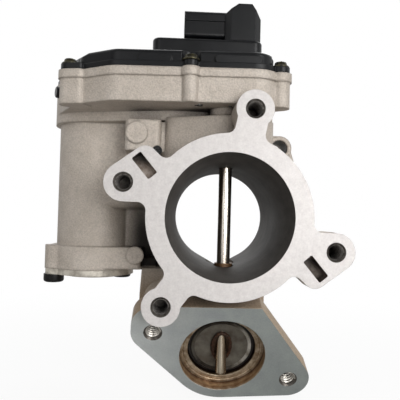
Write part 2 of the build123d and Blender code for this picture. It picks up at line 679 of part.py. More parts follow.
def toothed(teeth, first, count=None):
    """A spur gear's outline, with its first tooth at an angle in degrees. Fewer teeth make a sector."""
    pitch = pitch_radius(teeth)
    root, tip = pitch - DEDENDUM, pitch + ADDENDUM
    start = max(root, pitch * cos(PRESSURE))
    radii = [start, (start + tip) / 2 + 0.1, tip]
    points = []
    for tooth in range(count or teeth):
        middle = radians(first) + 2 * pi * tooth / teeth
        side = [(root, flank(teeth, start))] + [(r, flank(teeth, r)) for r in radii if r > root + 0.05]
        points += [(r, middle - half) for r, half in side]
        points += [(r, middle + half) for r, half in reversed(side)]
    corners = [(r * cos(a), r * sin(a)) for r, a in points]
    if count:
        corners.append((0, 0))
    return make_face(Polyline(*corners, close=True))


def meshing(first, teeth, other_teeth, direction):
    """First tooth angle of a gear that meshes with another's, seen from the other in a direction."""
    offset = (first - direction) * teeth / 360
    return direction + 180 - 360 / other_teeth * (offset + 0.5)


TOOTH_STEP = 360 / SECTOR_VIRTUAL
SECTOR_SPAN = (SECTOR_TEETH - 1) * TOOTH_STEP
SECTOR_FIRST = COMPOUND_DIRECTION + (SECTOR_SPAN - TRAVEL) / 2 - SECTOR_SPAN
PINION_FIRST = meshing(SECTOR_FIRST, SECTOR_VIRTUAL, PINION_TEETH, COMPOUND_DIRECTION)
WHEEL_FIRST = 0.0
IDLER_FIRST = meshing(WHEEL_FIRST, WHEEL_TEETH, IDLER_TEETH, IDLER_DIRECTION)
MOTOR_FIRST = meshing(IDLER_FIRST, IDLER_TEETH, MOTOR_TEETH, MOTOR_DIRECTION)


def stop_places():
    """Centres of the two pins that the sector's sides meet at the ends of its travel."""
    gap = STOP_R + 0.12
    closed = SECTOR_FIRST - TOOTH_STEP / 2
    opened = SECTOR_FIRST + SECTOR_SPAN + TOOTH_STEP / 2 + TRAVEL
    return [
        polar(polar(SHAFT, STOP_PLACE_R, closed), gap, closed - 90),
        polar(polar(SHAFT, STOP_PLACE_R, opened), gap, opened + 90),
    ]


def sector_gear():
    """The gear sector on the flap shaft, with a window for the spring's leg and a lightening window."""
    face = toothed(SECTOR_VIRTUAL, SECTOR_FIRST, SECTOR_TEETH) + disc(SECTOR_HUB_R)
    slot = arc_window(SPRING_R, 1.1, TANG_ANGLE - TRAVEL - 4, TANG_ANGLE + 4)
    light = arc_window(17.6, 2.6, SECTOR_FIRST + 6, SECTOR_FIRST + SECTOR_SPAN - 6)
    gear = slab(face - slot - light, SECTOR_Z, SECTOR_Z + SECTOR_T)
    gear += tube(SECTOR_HUB_R, SHAFT_R, SECTOR_Z - 0.8, SECTOR_Z + SECTOR_T + 0.1)
    gear -= post(SHAFT_R, 0, JOINT_Z + 9)
    return Pos(SHAFT) * gear


def arc_window(radius, half_width, angle_from, angle_to):
    """A slot along an arc round the origin."""
    ring = disc(radius + half_width) - disc(radius - half_width)
    ends = [polar(Vector(0, 0, 0), 60, a) for a in (angle_from, (angle_from + angle_to) / 2, angle_to)]
    wedge = make_face(Polyline((0, 0), *[(p.X, p.Y) for p in ends], close=True))
    slot = ring & wedge
    for angle in (angle_from, angle_to):
        end = polar(Vector(0, 0, 0), radius, angle)
        slot += disc(half_width, end.X, end.Y)
    return slot


def return_spring():
    """Torsion spring under the sector: one leg in the floor, the other up through the sector."""
    pitch = SPRING_WIRE + 0.35
    height = pitch * SPRING_TURNS
    path = Helix(pitch, height, SPRING_R)
    section = Plane(origin=path @ 0, z_dir=path % 0) * Rectangle(SPRING_WIRE, SPRING_WIRE)
    coil = sweep(section, path, is_frenet=True)
    turn = 360 * SPRING_TURNS
    low = FLOOR_Z - 2.4 - SPRING_Z
    half = SPRING_WIRE / 2
    leg = block(SPRING_R - half, SPRING_R + half, -half, half, low, half)
    tang = block(SPRING_R - half, SPRING_R + half, -half, half, height - half, SECTOR_Z + SECTOR_T - SPRING_Z)
    coil = coil + leg + Rot(0, 0, turn) * tang
    return Pos(SHAFT.X, SHAFT.Y, SPRING_Z + half) * Rot(0, 0, TANG_ANGLE - turn) * coil


def spring_leg_place():
    return polar(SHAFT, SPRING_R, TANG_ANGLE - 360 * SPRING_TURNS)


def compound_gear():
    """The moulded wheel of the compound gear, with a thin web and six ribs."""
    face = toothed(WHEEL_TEETH, WHEEL_FIRST)
    rim = pitch_radius(WHEEL_TEETH) - DEDENDUM - 2.2
    wheel = slab(face, WHEEL_Z, WHEEL_Z + WHEEL_T)
    relief = disc(rim) - disc(8.0)
    for turn in range(6):
        relief -= Rot(0, 0, 60 * turn) * Pos(rim / 2, 0) * Rectangle(rim, 1.8)
    wheel -= slab(relief, WHEEL_Z + 2.2, WHEEL_Z + WHEEL_T + 1)
    wheel -= post(pitch_radius(PINION_TEETH) - DEDENDUM, WHEEL_Z - 1, WHEEL_Z + WHEEL_T + 1)
    return Pos(COMPOUND) * wheel


def compound_pinion():
    """The steel pinion that carries the wheel and drives the sector."""
    core = pitch_radius(PINION_TEETH) - DEDENDUM
    pinion = slab(toothed(PINION_TEETH, PINION_FIRST), FLOOR_Z + 1.2 + GEAR_GAP, WHEEL_Z)
    pinion += post(core, WHEEL_Z - 1, WHEEL_Z + WHEEL_T)
    return Pos(COMPOUND) * (pinion - post(PIN_R + SHAFT_FIT, 0, PIN_TOP_Z + 9))


def idler_gear():
    """The idler between the motor and the compound wheel, on a long hub."""
    gear = slab(toothed(IDLER_TEETH, IDLER_FIRST), WHEEL_Z, WHEEL_Z + WHEEL_T)
    gear += post(5.0, FLOOR_Z + 1.2 + GEAR_GAP, WHEEL_Z)
    relief = disc(9.2) - disc(5.0)
    gear -= slab(relief, WHEEL_Z + WHEEL_T - 2, WHEEL_Z + WHEEL_T + 1)
    return Pos(IDLER) * (gear - post(PIN_R + SHAFT_FIT, 0, PIN_TOP_Z + 9))


def gear_pin(place):
    pin = post(PIN_R, TRAY_BOTTOM_Z - 1.3, PIN_TOP_Z, place)
    return chamfer(pin.edges().filter_by(GeomType.CIRCLE), 0.4)


def motor_pinion():
    gear = slab(toothed(MOTOR_TEETH, MOTOR_FIRST), WHEEL_Z - 1.2, WHEEL_Z + WHEEL_T)
    return Pos(MOTOR) * (gear - post(MOTOR_SHAFT_R, 0, PIN_TOP_Z + 9))


def stop_pins():
    return [post(STOP_R, FLOOR_Z - STOP_SEAT, SECTOR_Z + SECTOR_T, place) for place in stop_places()]


def shaft_nut():
    """Nut that clamps the sector on the shaft."""
    low = SECTOR_Z + SECTOR_T + 0.1
    nut = slab(RegularPolygon(5.4, 6), low, low + 4.0)
    return Pos(SHAFT) * (nut - post(SHAFT_R, low - 1, low + 5))


def sensor_magnet():
    """Ring magnet for the position sensor, pressed on the shaft's end."""
    return tube(5.2, SHAFT_R - 0.6, SHAFT_TOP_Z - 2.4, SHAFT_TOP_Z + 0.6, SHAFT)


# ---- Motor -------------------------------------------------------------------------------------
def motor_can():
    """Drawn steel can with a nose that centres it in the tray's floor."""
    can = tube(MOTOR_R, MOTOR_R - CAN_WALL, CAN_BOTTOM_Z, CAN_TOP_Z, MOTOR)
    can += post(MOTOR_R - 0.2, CAN_TOP_Z - CAN_WALL, CAN_TOP_Z, MOTOR)
    can += post(NOSE_R, CAN_TOP_Z - 6, CAN_TOP_Z + 6, MOTOR)
    rim = can.edges().filter_by(GeomType.CIRCLE).filter_by(lambda e: abs(e.radius - MOTOR_R) < 0.01)
    can = fillet(rim.sort_by(Axis.Z)[-1], 1.0)
    return can - post(MOTOR_SHAFT_R + SHAFT_FIT, 0, JOINT_Z, MOTOR)


def motor_magnets():
    """Two curved magnets inside the can."""
    ring = disc(MOTOR_R - CAN_WALL) - disc(MAGNET_IN_R)
    ring -= Rectangle(8, 60)
    return [Pos(MOTOR) * piece for piece in slab(ring, -14, 30).solids()]


def motor_armature():
    """Laminated core with five slots, and the commutator below it."""
    core = disc(ARMATURE_R)
    for turn in range(5):
        core -= Rot(0, 0, 72 * turn) * Pos(9.4, 0) * Rectangle(12, 1.8)
        core -= Rot(0, 0, 72 * turn) * disc(2.6, 8.6)
    armature = slab(core, -10, 26) + post(5.5, -19, -10)
    return Pos(MOTOR) * (armature - post(MOTOR_SHAFT_R, -40, 60))


def motor_shaft():
    shaft = post(MOTOR_SHAFT_R, CAN_BOTTOM_Z + 1.4, WHEEL_Z + WHEEL_T + 1, MOTOR)
    return chamfer(shaft.edges().filter_by(GeomType.CIRCLE), 0.3)


def motor_end_cap():
    """Plastic end of the motor, with the lower shaft bearing in its boss."""
    radius = MOTOR_R - CAN_WALL
    cap = post(radius, CAN_BOTTOM_Z, CAN_BOTTOM_Z + 3, MOTOR)
    cap += post(4.5, CAN_BOTTOM_Z, CAN_BOTTOM_Z + 5.6, MOTOR)
    cap -= post(MOTOR_SHAFT_R + SHAFT_FIT, CAN_BOTTOM_Z + 1.2, 0, MOTOR)
    return cap


def motor_contacts(clear=0.0):
    """Two blades that carry the motor's current up through the tray's floor to the cover."""
    blades = []
    y = MOTOR.Y + 12.0
    for side in (-1, 1):
        x = MOTOR.X + 6.0 * side
        half, thin = 2.2 + clear, 0.4 + clear
        blades.append(block(x - half, x + half, y - thin, y + thin, CAN_TOP_Z, JOINT_Z + 3))
    return blades


def motor_wave_spring():
    """Dished spring washer that holds the motor up."""
    low, high = WELL_FLANGE_Z[0], CAN_BOTTOM_Z
    profile = Polyline((9, high), (9, high - 0.7), (15, low), (15, low + 0.7), close=True)
    return Pos(MOTOR) * revolve(Plane.XZ * make_face(profile), Axis.Z)


def well_cover_outline(grow=0.0):
    outline = disc(WELL_FLANGE_R + grow, MOTOR.X, MOTOR.Y)
    for place in WELL_SCREWS:
        outline += wrap(
            [(place.X, place.Y, WELL_EAR_R + grow), between(place, MOTOR, 8.6)]
        )
    return outline


def motor_bottom_cover():
    """Plate that closes the motor well, dished outward."""
    high = WELL_FLANGE_Z[0]
    plate = slab(well_cover_outline(-0.4), high - COVER_PLATE_T + 0.6, high)
    dish_r = WELL_SCREW_PITCH_R - WELL_SCREW_HEAD_R - 0.3
    dish = post(dish_r, high - COVER_PLATE_T - 0.6, high - 0.5, MOTOR)
    edge = dish.edges().filter_by(GeomType.CIRCLE).sort_by(Axis.Z)[0]
    plate += fillet(edge, 0.8)
    groove = Pos(MOTOR.X, MOTOR.Y, high - 1.2) * (
        Cylinder(19.1, 1.3, align=UPRIGHT) - Cylinder(18.0, 1.3, align=UPRIGHT)
    )
    plate -= groove
    for place in WELL_SCREWS:
        plate -= post(SCREW_R + SCREW_FIT, high - 9, high + 1, place)
    return plate


def motor_cover_oring():
    high = WELL_FLANGE_Z[0]
    return tube(19.0, 18.1, high - 1.15, high, MOTOR)


def screw(length, head_r=SCREW_HEAD_R, head_h=SCREW_HEAD_H):
    """A flanged pan-head screw standing on its head's seat at the origin, shank down."""
    head = post(head_r, 0, 0.9) + post(head_r - 0.9, 0, head_h)
    top = head.edges().filter_by(GeomType.CIRCLE).sort_by(Axis.Z)[-1]
    head = fillet(top, 0.8)
    head -= slab(RegularPolygon(1.7, 6), head_h - 1.6, head_h + 1)
    return head + post(SCREW_R, -length, 0.5)


def cover_screws():
    seat = JOINT_Z + GASKET_T + COVER_FLANGE_T
    return [Pos(place.X, place.Y, seat) * screw(SCREW_LEN) for place, _ in COLUMNS]


def motor_cover_screws():
    seat = WELL_FLANGE_Z[0] - COVER_PLATE_T + 0.6
    bolt = Rot(180, 0, 0) * screw(12, WELL_SCREW_HEAD_R, WELL_SCREW_HEAD_H)
    return [Pos(place.X, place.Y, seat) * bolt for place in WELL_SCREWS]


def body_plug():
    """Small set screw that closes a drilled passage beside the upper pad."""
    plug = post(PLUG_R, 0, 1.6) - slab(RegularPolygon(PLUG_R / 2, 6), 0.8, 3)
    return Pos(PLUG_PLACE[0], PLUG_Y, PLUG_PLACE[1]) * Rot(90, 0, 0) * plug


# ---- Cover -------------------------------------------------------------------------------------
def vent_plug():
    """Breather cap, open to the air through slots under its rim, with a hollow stem in the wall."""
    cap = Cylinder(*VENT_CAP, align=UPRIGHT)
    cap = fillet(cap.edges().sort_by(Axis.Z)[-1], VENT_SLOT[1])
    stem = Cylinder(*VENT_STEM, align=(Align.CENTER, Align.CENTER, Align.MAX))
    width, height = VENT_SLOT
    plug = cap + stem
    for angle in (0, 90):
        bar = Rot(0, 0, angle) * Box(3 * VENT_CAP[0], width, height, align=UPRIGHT)
        plug -= bar - Cylinder(VENT_STEM[0], height, align=UPRIGHT)
    plug -= Pos(0, 0, -VENT_STEM[1] - 1) * Cylinder(VENT_BORE_R, VENT_STEM[1] + 1 + height, align=UPRIGHT)
    return vent_plane() * plug


def cover_gasket():
    ring = joint_outline(-0.2) - tray_inside()
    gasket = slab(ring, JOINT_Z, JOINT_Z + GASKET_T)
    for place, _ in COLUMNS:
        gasket -= post(SCREW_R + SCREW_FIT, JOINT_Z - 1, JOINT_Z + 2, place)
    return gasket


def plateau_box(shrink=0.0):
    x0, x1, y0, y1, top = PLATEAU
    return block(x0 + shrink, x1 - shrink, y0 + shrink, y1 - shrink, JOINT_Z + 3, top - shrink)


def slope_cut(drop=0.0):
    """What the sloping front left end of the dome removes."""
    x, y, z = SLOPE_START
    above = Box(120, 200, 60, align=(Align.CENTER, Align.CENTER, Align.MIN))
    return Pos(x, y, z - drop) * Rot(0, 0, SLOPE_DIRECTION) * Rot(0, SLOPE_ANGLE, 0) * above


def dome():
    """The cover's main shell, rounded at its top edge and sloping to the left."""
    shell = slab(tray_outline(-DOME_INSET), JOINT_Z + 1, DOME_TOP_Z) - slope_cut()
    top = shell.faces().filter_by(GeomType.PLANE).sort_by(Axis.Z)[-1]
    shell = fillet(top.edges(), 1.6)
    plateau = plateau_box()
    plateau = fillet(plateau.edges().filter_by(Axis.Z), 4)
    plateau = fillet(plateau.faces().sort_by(Axis.Z)[-1].edges(), 1.4)
    return shell + plateau


def dome_hollow():
    base = JOINT_Z + GASKET_T - 1
    room = slab(tray_inside(0.2), base, DOME_TOP_Z - COVER_WALL) - slope_cut(1.3 * COVER_WALL)
    room += fillet(plateau_box(COVER_WALL).edges().filter_by(Axis.Z), 2.5)
    return room


def connector_shell():
    """The connector: a socket that faces left, on a chamfered tower."""
    x0, x1, y0, y1, z0, z1 = SHROUD
    shroud = block(x0, x1, y0, y1, z0, z1)
    shroud = fillet(shroud.edges().filter_by(Axis.X), 1.8)
    ridge = block(x0, x1, y0 - 0.7, y1 + 0.7, z1 - 5.2, z1 - 1.8)
    foot = block(x0 + 4, x1, y0 + 3, y1 - 3, PLATEAU[4] - 1, z0 + 1)
    tx0, tx1, ty0, ty1, top = TOWER
    across, down = TOWER_CHAMFER
    outline = Polyline(
        (tx0, PLATEAU[4] - 10),
        (tx1, PLATEAU[4] - 10),
        (tx1, top - down - 2.2),
        (tx1 - 4.6, top),
        (tx0 + across, top),
        (tx0, top - down),
        close=True,
    )
    tower = front_slab(make_face(outline), ty0, ty1)
    tower = chamfer(tower.edges().filter_by(Axis.Z), 2.6)
    return shroud + ridge + foot + tower


def socket_hollow():
    x0, _, y0, y1, z0, z1 = SHROUD
    wall = SOCKET_WALL
    hollow = block(x0 - 1, x0 + SOCKET_DEPTH, y0 + wall, y1 - wall, z0 + wall, z1 - wall)
    return fillet(hollow.edges().filter_by(Axis.X), 1.0)


def capsule_bars():
    """Two raised bars on the cover's front wall."""
    low, high = BAR_Z
    radius = (high - low) / 2
    bars = []
    for x_from, x_to in BARS_X:
        wall_y = front_wall_y((x_from + x_to) / 2) + DOME_INSET
        outline = Pos((x_from + x_to) / 2, (low + high) / 2) * SlotOverall(x_to - x_from, 2 * radius)
        bars.append(front_slab(outline, wall_y - BAR_PROUD, wall_y + 1.5))
    return bars


def gear_cover():
    """The moulded cover: flange with screw ears, dome, plateau, connector and pin bosses."""
    base = JOINT_Z + GASKET_T
    seat = base + COVER_FLANGE_T
    cover = slab(tray_outline(-0.2), base, base + 2.4) + slab(columns(-0.2), base, seat)
    cover += dome()
    for bar in capsule_bars():
        cover += bar
    cover += connector_shell()
    cover -= dome_hollow()
    for place, roof in ((COMPOUND, PLATEAU[4]), (IDLER, DOME_TOP_Z)):
        cover += post(PIN_R + 2, WHEEL_Z + WHEEL_T + GEAR_GAP + 0.5, roof - 1, place)
        cover -= post(PIN_R + SCREW_FIT, 0, PIN_TOP_Z + 0.1, place)
    cover -= socket_hollow()
    for place, radius in COLUMNS:
        cover -= post(SCREW_R + SCREW_FIT, base - 1, seat + 1, place)
        cover -= post(SCREW_HEAD_R + 0.7, seat, seat + 14, place)
    return cover


def sensor_board():
    """Circuit board under the plateau, with the position sensor over the magnet."""
    ceiling = PLATEAU[4] - COVER_WALL
    board = block(-20, 12, 26, 48.5, ceiling - 3.0, ceiling - 1.4)
    chip = block(-3, 3, SHAFT_Y - 2.4, SHAFT_Y + 3, SHAFT_TOP_Z + 2.2, ceiling - 3.0)
    legs = [post(1.2, ceiling - 1.4, ceiling, Vector(x, y)) for x in (-17, 9) for y in (29, 46)]
    return board + chip + legs


def connector_terminals():
    """Bent pins: along the socket, then down through the cover to the board."""
    x0, _, y0, y1, z0, z1 = SHROUD
    z = (z0 + z1) / 2
    half = TERMINAL / 2
    board_top = PLATEAU[4] - COVER_WALL - 1.4
    pins = []
    for number in range(TERMINALS):
        y = (y0 + y1) / 2 + (number - (TERMINALS - 1) / 2) * 2.9
        reach = x0 + SOCKET_DEPTH + 1.5
        pin = block(x0 + 4, reach + half, y - half, y + half, z - half, z + half)
        pins.append(pin + block(reach - half, reach + half, y - half, y + half, board_top, z))
    return pins


def pin_slots():
    """Channels for the terminals in the cover."""
    x0, _, y0, y1, z0, z1 = SHROUD
    z = (z0 + z1) / 2
    half = TERMINAL / 2
    cut = []
    for number in range(TERMINALS):
        y = (y0 + y1) / 2 + (number - (TERMINALS - 1) / 2) * 2.9
        reach = x0 + SOCKET_DEPTH + 1.5
        cut.append(block(x0 + 4, reach + half, y - half, y + half, z - half, z + half))
        cut.append(block(reach - half, reach + half, y - half, y + half, PLATEAU[4] - 6, z + half))
    return cut


# ---- Writing the pieces ------------------------------------------------------------------------
def write(name, shape):
    """Exports one node: a solid, or several like solids that share it."""
    if isinstance(shape, (list, tuple)):
        shape = Compound(children=list(shape))
    export_step(shape, f"parts/{name}.step")


def main():
    os.makedirs("parts", exist_ok=True)
    housing = valve_housing()
    leg = spring_leg_place()
    housing -= Pos(leg.X, leg.Y, 0) * block(-0.9, 0.9, -0.9, 0.9, FLOOR_Z - 2.6, FLOOR_Z + 1)
    write("valve_housing", housing)
    write("port_sleeve", port_sleeve())
    write("flap_disc", flap_disc())
    write("flap_shaft", flap_shaft())
    write("lower_guide_bush", lower_guide_bush())
    write("upper_shaft_bearing", upper_shaft_bearing())
    write("shaft_seal", shaft_seal())
    write("sector_gear", sector_gear())
    write("shaft_nut", shaft_nut())
    write("sensor_magnet", sensor_magnet())
    write("return_spring", return_spring())
    write("stop_pins", stop_pins())
    write("compound_gear", compound_gear())
    write("compound_pinion", compound_pinion())
    write("compound_pin", gear_pin(COMPOUND))
    write("idler_gear", idler_gear())
    write("idler_pin", gear_pin(IDLER))
    write("motor_pinion", motor_pinion())
    write("motor_shaft", motor_shaft())
    write("motor_armature", motor_armature())
    write("motor_can", motor_can())
    write("motor_magnets", motor_magnets())
    write("motor_end_cap", motor_end_cap())
    write("motor_contacts", motor_contacts())
    write("motor_wave_spring", motor_wave_spring())
    write("motor_bottom_cover", motor_bottom_cover())
    write("motor_cover_oring", motor_cover_oring())
    write("motor_cover_screws", motor_cover_screws())
    write("body_plug", body_plug())
    write("vent_plug", vent_plug())
    write("cover_gasket", cover_gasket())
    cover = gear_cover()
    for slot in pin_slots():
        cover -= slot
    write("gear_cover", cover)
    write("cover_screws", cover_screws())
    write("sensor_board", sensor_board())
    write("connector_terminals", connector_terminals())


main()
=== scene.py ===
import logging
import math
from collections.abc import Sequence
from dataclasses import dataclass
from enum import Enum
from typing import ClassVar

import bmesh
import bpy
from mathutils import Matrix, Vector


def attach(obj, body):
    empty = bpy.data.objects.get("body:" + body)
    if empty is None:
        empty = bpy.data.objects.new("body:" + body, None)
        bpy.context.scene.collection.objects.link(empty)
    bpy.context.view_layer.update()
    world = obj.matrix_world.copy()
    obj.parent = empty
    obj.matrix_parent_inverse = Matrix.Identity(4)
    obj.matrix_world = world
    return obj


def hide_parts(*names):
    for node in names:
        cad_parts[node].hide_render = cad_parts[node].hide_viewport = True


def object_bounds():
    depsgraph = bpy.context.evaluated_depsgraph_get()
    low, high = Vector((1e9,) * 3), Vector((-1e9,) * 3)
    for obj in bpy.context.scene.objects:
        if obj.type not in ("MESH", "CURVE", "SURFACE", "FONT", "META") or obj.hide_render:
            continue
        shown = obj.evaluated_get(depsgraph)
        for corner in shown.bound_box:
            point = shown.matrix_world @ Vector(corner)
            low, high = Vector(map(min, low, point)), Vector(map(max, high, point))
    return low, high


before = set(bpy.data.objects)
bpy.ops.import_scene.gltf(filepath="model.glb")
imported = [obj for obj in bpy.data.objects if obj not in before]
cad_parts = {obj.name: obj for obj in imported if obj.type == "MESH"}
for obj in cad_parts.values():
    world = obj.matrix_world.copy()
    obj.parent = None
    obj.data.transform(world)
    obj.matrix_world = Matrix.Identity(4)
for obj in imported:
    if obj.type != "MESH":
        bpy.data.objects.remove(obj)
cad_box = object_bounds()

# Looks of an exhaust gas recirculation valve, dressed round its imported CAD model. Sizes are in
# millimetres in the classes and turned to metres where a mesh or a node is made.

log = logging.getLogger("egr_valve")
Tree = bpy.types.NodeTree
Node = bpy.types.Node
Source = bpy.types.NodeSocket | Node
Piece = bpy.types.Object
Solid = bmesh.types.BMesh
Ring = list[bmesh.types.BMVert]
Triple = tuple[float, float, float]
MM = 0.001
WHITE = (1.0, 1.0, 1.0, 1.0)

# The ways sideways and backward through the valve, and those of the exhaust port, which faces
# forward and down: its mouth, in millimetres, the way into it and the way out of it.
SIDEWAYS = Vector((1.0, 0.0, 0.0))
BACKWARD = Vector((0.0, 1.0, 0.0))
PORT_TILT = math.radians(25.0)
PORT_MOUTH = Vector((0.0, 20.7495, -64.581))
PORT_IN = Vector((0.0, math.cos(PORT_TILT), math.sin(PORT_TILT)))
PORT_OUT = -PORT_IN

# Corners of a CAD mesh that are nearer than this, in metres, are one.
MERGE_M = 2e-7

# Lobes of a screw's socket.
LOBES = 6

# Sizes of the patches in which a gloss wanders and in which bands of heat tint waver.
GLOSS_PATCH_MM = 9.0
WAVER_PATCH_MM = 4.0


def linear(hex_colour: str) -> tuple[float, float, float, float]:
    """Turns an sRGB hex colour to the linear colour that a socket takes.

    Args:
        hex_colour: six hex digits after a hash.

    Returns:
        Red, green, blue and alpha.
    """
    channels = [int(hex_colour[i : i + 2], 16) / 255 for i in (1, 3, 5)]
    lit = [c / 12.92 if c <= 0.04045 else ((c + 0.055) / 1.055) ** 2.4 for c in channels]
    return lit[0], lit[1], lit[2], 1.0


def add_node(
    tree: Tree, kind: str, values: dict | None = None, links: dict | None = None, **settings: object
) -> Node:
    """Adds a node with its settings and links.

    Args:
        tree: the tree that gets the node.
        kind: the node's type name.
        values: input name or number to its fixed value.
        links: input name or number to what feeds it: a socket, or a node for its first live one.
        settings: the node's own properties.

    Returns:
        The new node.
    """
    node = tree.nodes.new(kind)
    for name, value in settings.items():
        setattr(node, name, value)
    for key, value in (values or {}).items():
        node.inputs[key].default_value = value
    for key, source in (links or {}).items():
        if isinstance(source, Node):
            source = next(output for output in source.outputs if output.enabled)
        tree.links.new(source, node.inputs[key])
    return node


# ---- Finishes ----------------------------------------------------------------------------------
@dataclass(frozen=True)
class Grain:
    """Fine relief of a surface, and how softly its edges catch the light.

    Attributes:
        size_mm: distance from one bump to the next.
        depth_mm: height of the bumps.
        edge_mm: radius at which corners look rounded, or 0 for crisp ones.
        stretch: how much finer the bumps lie along X, Y and Z.
    """

    size_mm: float
    depth_mm: float
    edge_mm: float = 0.0
    stretch: Triple = (1.0, 1.0, 1.0)
    edge_samples: ClassVar[int] = 6

    def normal(self, tree: Tree, place: Source) -> Source:
        """Adds the relief.

        Args:
            tree: the material's tree.
            place: the coordinates that the relief lies on.

        Returns:
            The normal for a shader.
        """
        spread = add_node(tree, "ShaderNodeMapping", {"Scale": self.stretch}, {"Vector": place})
        noise = add_node(
            tree,
            "ShaderNodeTexNoise",
            {"Scale": 1 / (self.size_mm * MM), "Detail": 2.0, "Roughness": 0.55},
            {"Vector": spread},
        )
        links = {"Height": noise}
        if self.edge_mm:
            soft = add_node(
                tree, "ShaderNodeBevel", {"Radius": self.edge_mm * MM}, samples=self.edge_samples
            )
            links["Normal"] = soft
        return add_node(
            tree, "ShaderNodeBump", {"Strength": 1.0, "Distance": self.depth_mm * MM}, links
        )


@dataclass(frozen=True)
class Mottle:
    """Uneven colour: patches that pass between two tones.

    Attributes:
        light: hex colour of the paler patches.
        dark: hex colour of the darker ones.
        size_mm: size of a patch.
        contrast: 0 for an even mix, 1 for clear patches.
        speckle: how far fine grains lighten and darken the patches.
        speckle_mm: size of those grains.
        stretch: how much finer the patches lie along X, Y and Z.
        softest: half width of the pass between the tones, in noise, for an even mix.
        sharpening: how much of that width full contrast takes away.
    """

    light: str
    dark: str
    size_mm: float
    contrast: float = 0.5
    speckle: float = 0.0
    speckle_mm: float = 0.6
    stretch: Triple = (1.0, 1.0, 1.0)
    softest: ClassVar[float] = 0.3
    sharpening: ClassVar[float] = 0.27

    def colour(self, tree: Tree, place: Source) -> Source:
        """Adds the patches.

        Args:
            tree: the material's tree.
            place: the coordinates that the patches lie on.

        Returns:
            Their colour.
        """
        spread = add_node(tree, "ShaderNodeMapping", {"Scale": self.stretch}, {"Vector": place})
        noise = add_node(
            tree,
            "ShaderNodeTexNoise",
            {"Scale": 1 / (self.size_mm * MM), "Detail": 5.0, "Roughness": 0.6},
            {"Vector": spread},
        )
        half = self.softest - self.sharpening * self.contrast
        ramp = add_node(tree, "ShaderNodeValToRGB", links={"Fac": noise})
        for stop, side, tint in zip(ramp.color_ramp.elements, (-1, 1), (self.dark, self.light)):
            stop.position = 0.5 + side * half
            stop.color = linear(tint)
        if not self.speckle:
            return ramp
        grains = add_node(
            tree,
            "ShaderNodeTexNoise",
            {"Scale": 1 / (self.speckle_mm * MM), "Detail": 1.0},
            {"Vector": place},
        )
        strength = add_node(
            tree,
            "ShaderNodeMapRange",
            {
                "From Min": 0.3,
                "From Max": 0.7,
                "To Min": 1 - self.speckle,
                "To Max": 1 + self.speckle,
            },
            {"Value": grains},
        )
        return add_node(
            tree, "ShaderNodeVectorMath", links={0: ramp, 1: strength}, operation="MULTIPLY"
        )


def stained(tree: Tree, clean: Source, tint: str, share: Source) -> Source:
    """Multiplies a colour by a stain where it lies.

    Args:
        tree: the material's tree.
        clean: the colour without the stain.
        tint: hex colour of the stain.
        share: 1 where it is full, 0 where there is none.

    Returns:
        The colour with it.
    """
    values = {"A": WHITE, "B": linear(tint)}
    film = add_node(tree, "ShaderNodeMix", values, {"Factor": share}, data_type="RGBA")
    return add_node(tree, "ShaderNodeVectorMath", links={0: clean, 1: film}, operation="MULTIPLY")


@dataclass(frozen=True)
class PaintedCornerShade:
    """Painted shade in corners: the colour darkened by ambient occlusion, where shade falls.

    Attributes:
        tint: hex colour that the deepest corners are multiplied by.
        reach_mm: how far from a corner it lies.
        full_at: openness to the sky, from 0 to 1, at which it is at its thickest.
        none_at: openness at which it ends.
    """

    tint: str = "#3E3832"
    reach_mm: float = 16.0
    full_at: float = 0.08
    none_at: float = 0.4
    samples: ClassVar[int] = 8

    def over(self, tree: Tree, clean: Source) -> Source:
        """Adds the painted corner shade over a colour.

        Args:
            tree: the material's tree.
            clean: the colour without it.

        Returns:
            The colour with it.
        """
        corner = add_node(
            tree,
            "ShaderNodeAmbientOcclusion",
            {"Distance": self.reach_mm * MM},
            samples=self.samples,
            only_local=False,
        )
        share = add_node(
            tree,
            "ShaderNodeMapRange",
            {"From Min": self.none_at, "From Max": self.full_at},
            {"Value": corner.outputs["AO"]},
            interpolation_type="SMOOTHSTEP",
        )
        return stained(tree, clean, self.tint, share)


@dataclass(frozen=True)
class Finish:
    """A finish that any piece can wear: an uneven colour, a relief and a gloss.

    Attributes:
        name: the material's name.
        mottle: its colour.
        grain: its relief.
        roughness: spread of its gloss.
        metallic: 1 for bare metal.
        gloss_change: how far the roughness wanders from place to place.
        shine: strength of the reflection of what isn't metal.
        corner_shade: painted shade in its corners, if any.
    """

    name: str
    mottle: Mottle
    grain: Grain
    roughness: float
    metallic: float = 0.0
    gloss_change: float = 0.08
    shine: float = 0.5
    corner_shade: PaintedCornerShade | None = None

    def material(self) -> bpy.types.Material:
        """The finish as a material, made at its first use."""
        known = bpy.data.materials.get(self.name)
        if known:
            return known
        material = bpy.data.materials.new(self.name)
        material.use_nodes = True
        tree = material.node_tree
        tree.nodes.clear()
        place = add_node(tree, "ShaderNodeTexCoord").outputs["Object"]
        colour = self.colour(tree, place)
        # Painted shade: ambient occlusion darkens the colour in corners.
        if self.corner_shade:
            colour = self.corner_shade.over(tree, colour)
        shader = add_node(
            tree,
            "ShaderNodeBsdfPrincipled",
            {"Metallic": self.metallic, "Specular IOR Level": self.shine},
            {
                "Base Color": colour,
                "Roughness": self.gloss(tree, place),
                "Normal": self.grain.normal(tree, place),
            },
        )
        add_node(tree, "ShaderNodeOutputMaterial", links={"Surface": shader})
        return material

    def colour(self, tree: Tree, place: Source) -> Source:
        """Adds the nodes of the colour and returns it."""
        return self.mottle.colour(tree, place)

    def gloss(self, tree: Tree, place: Source) -> Source:
        """Adds the nodes of the roughness and returns it."""
        noise = add_node(
            tree,
            "ShaderNodeTexNoise",
            {"Scale": 1 / (GLOSS_PATCH_MM * MM), "Detail": 3.0},
            {"Vector": place},
        )
        return add_node(
            tree,
            "ShaderNodeMapRange",
            {
                "To Min": self.roughness - self.gloss_change,
                "To Max": self.roughness + self.gloss_change,
            },
            {"Value": noise},
        )


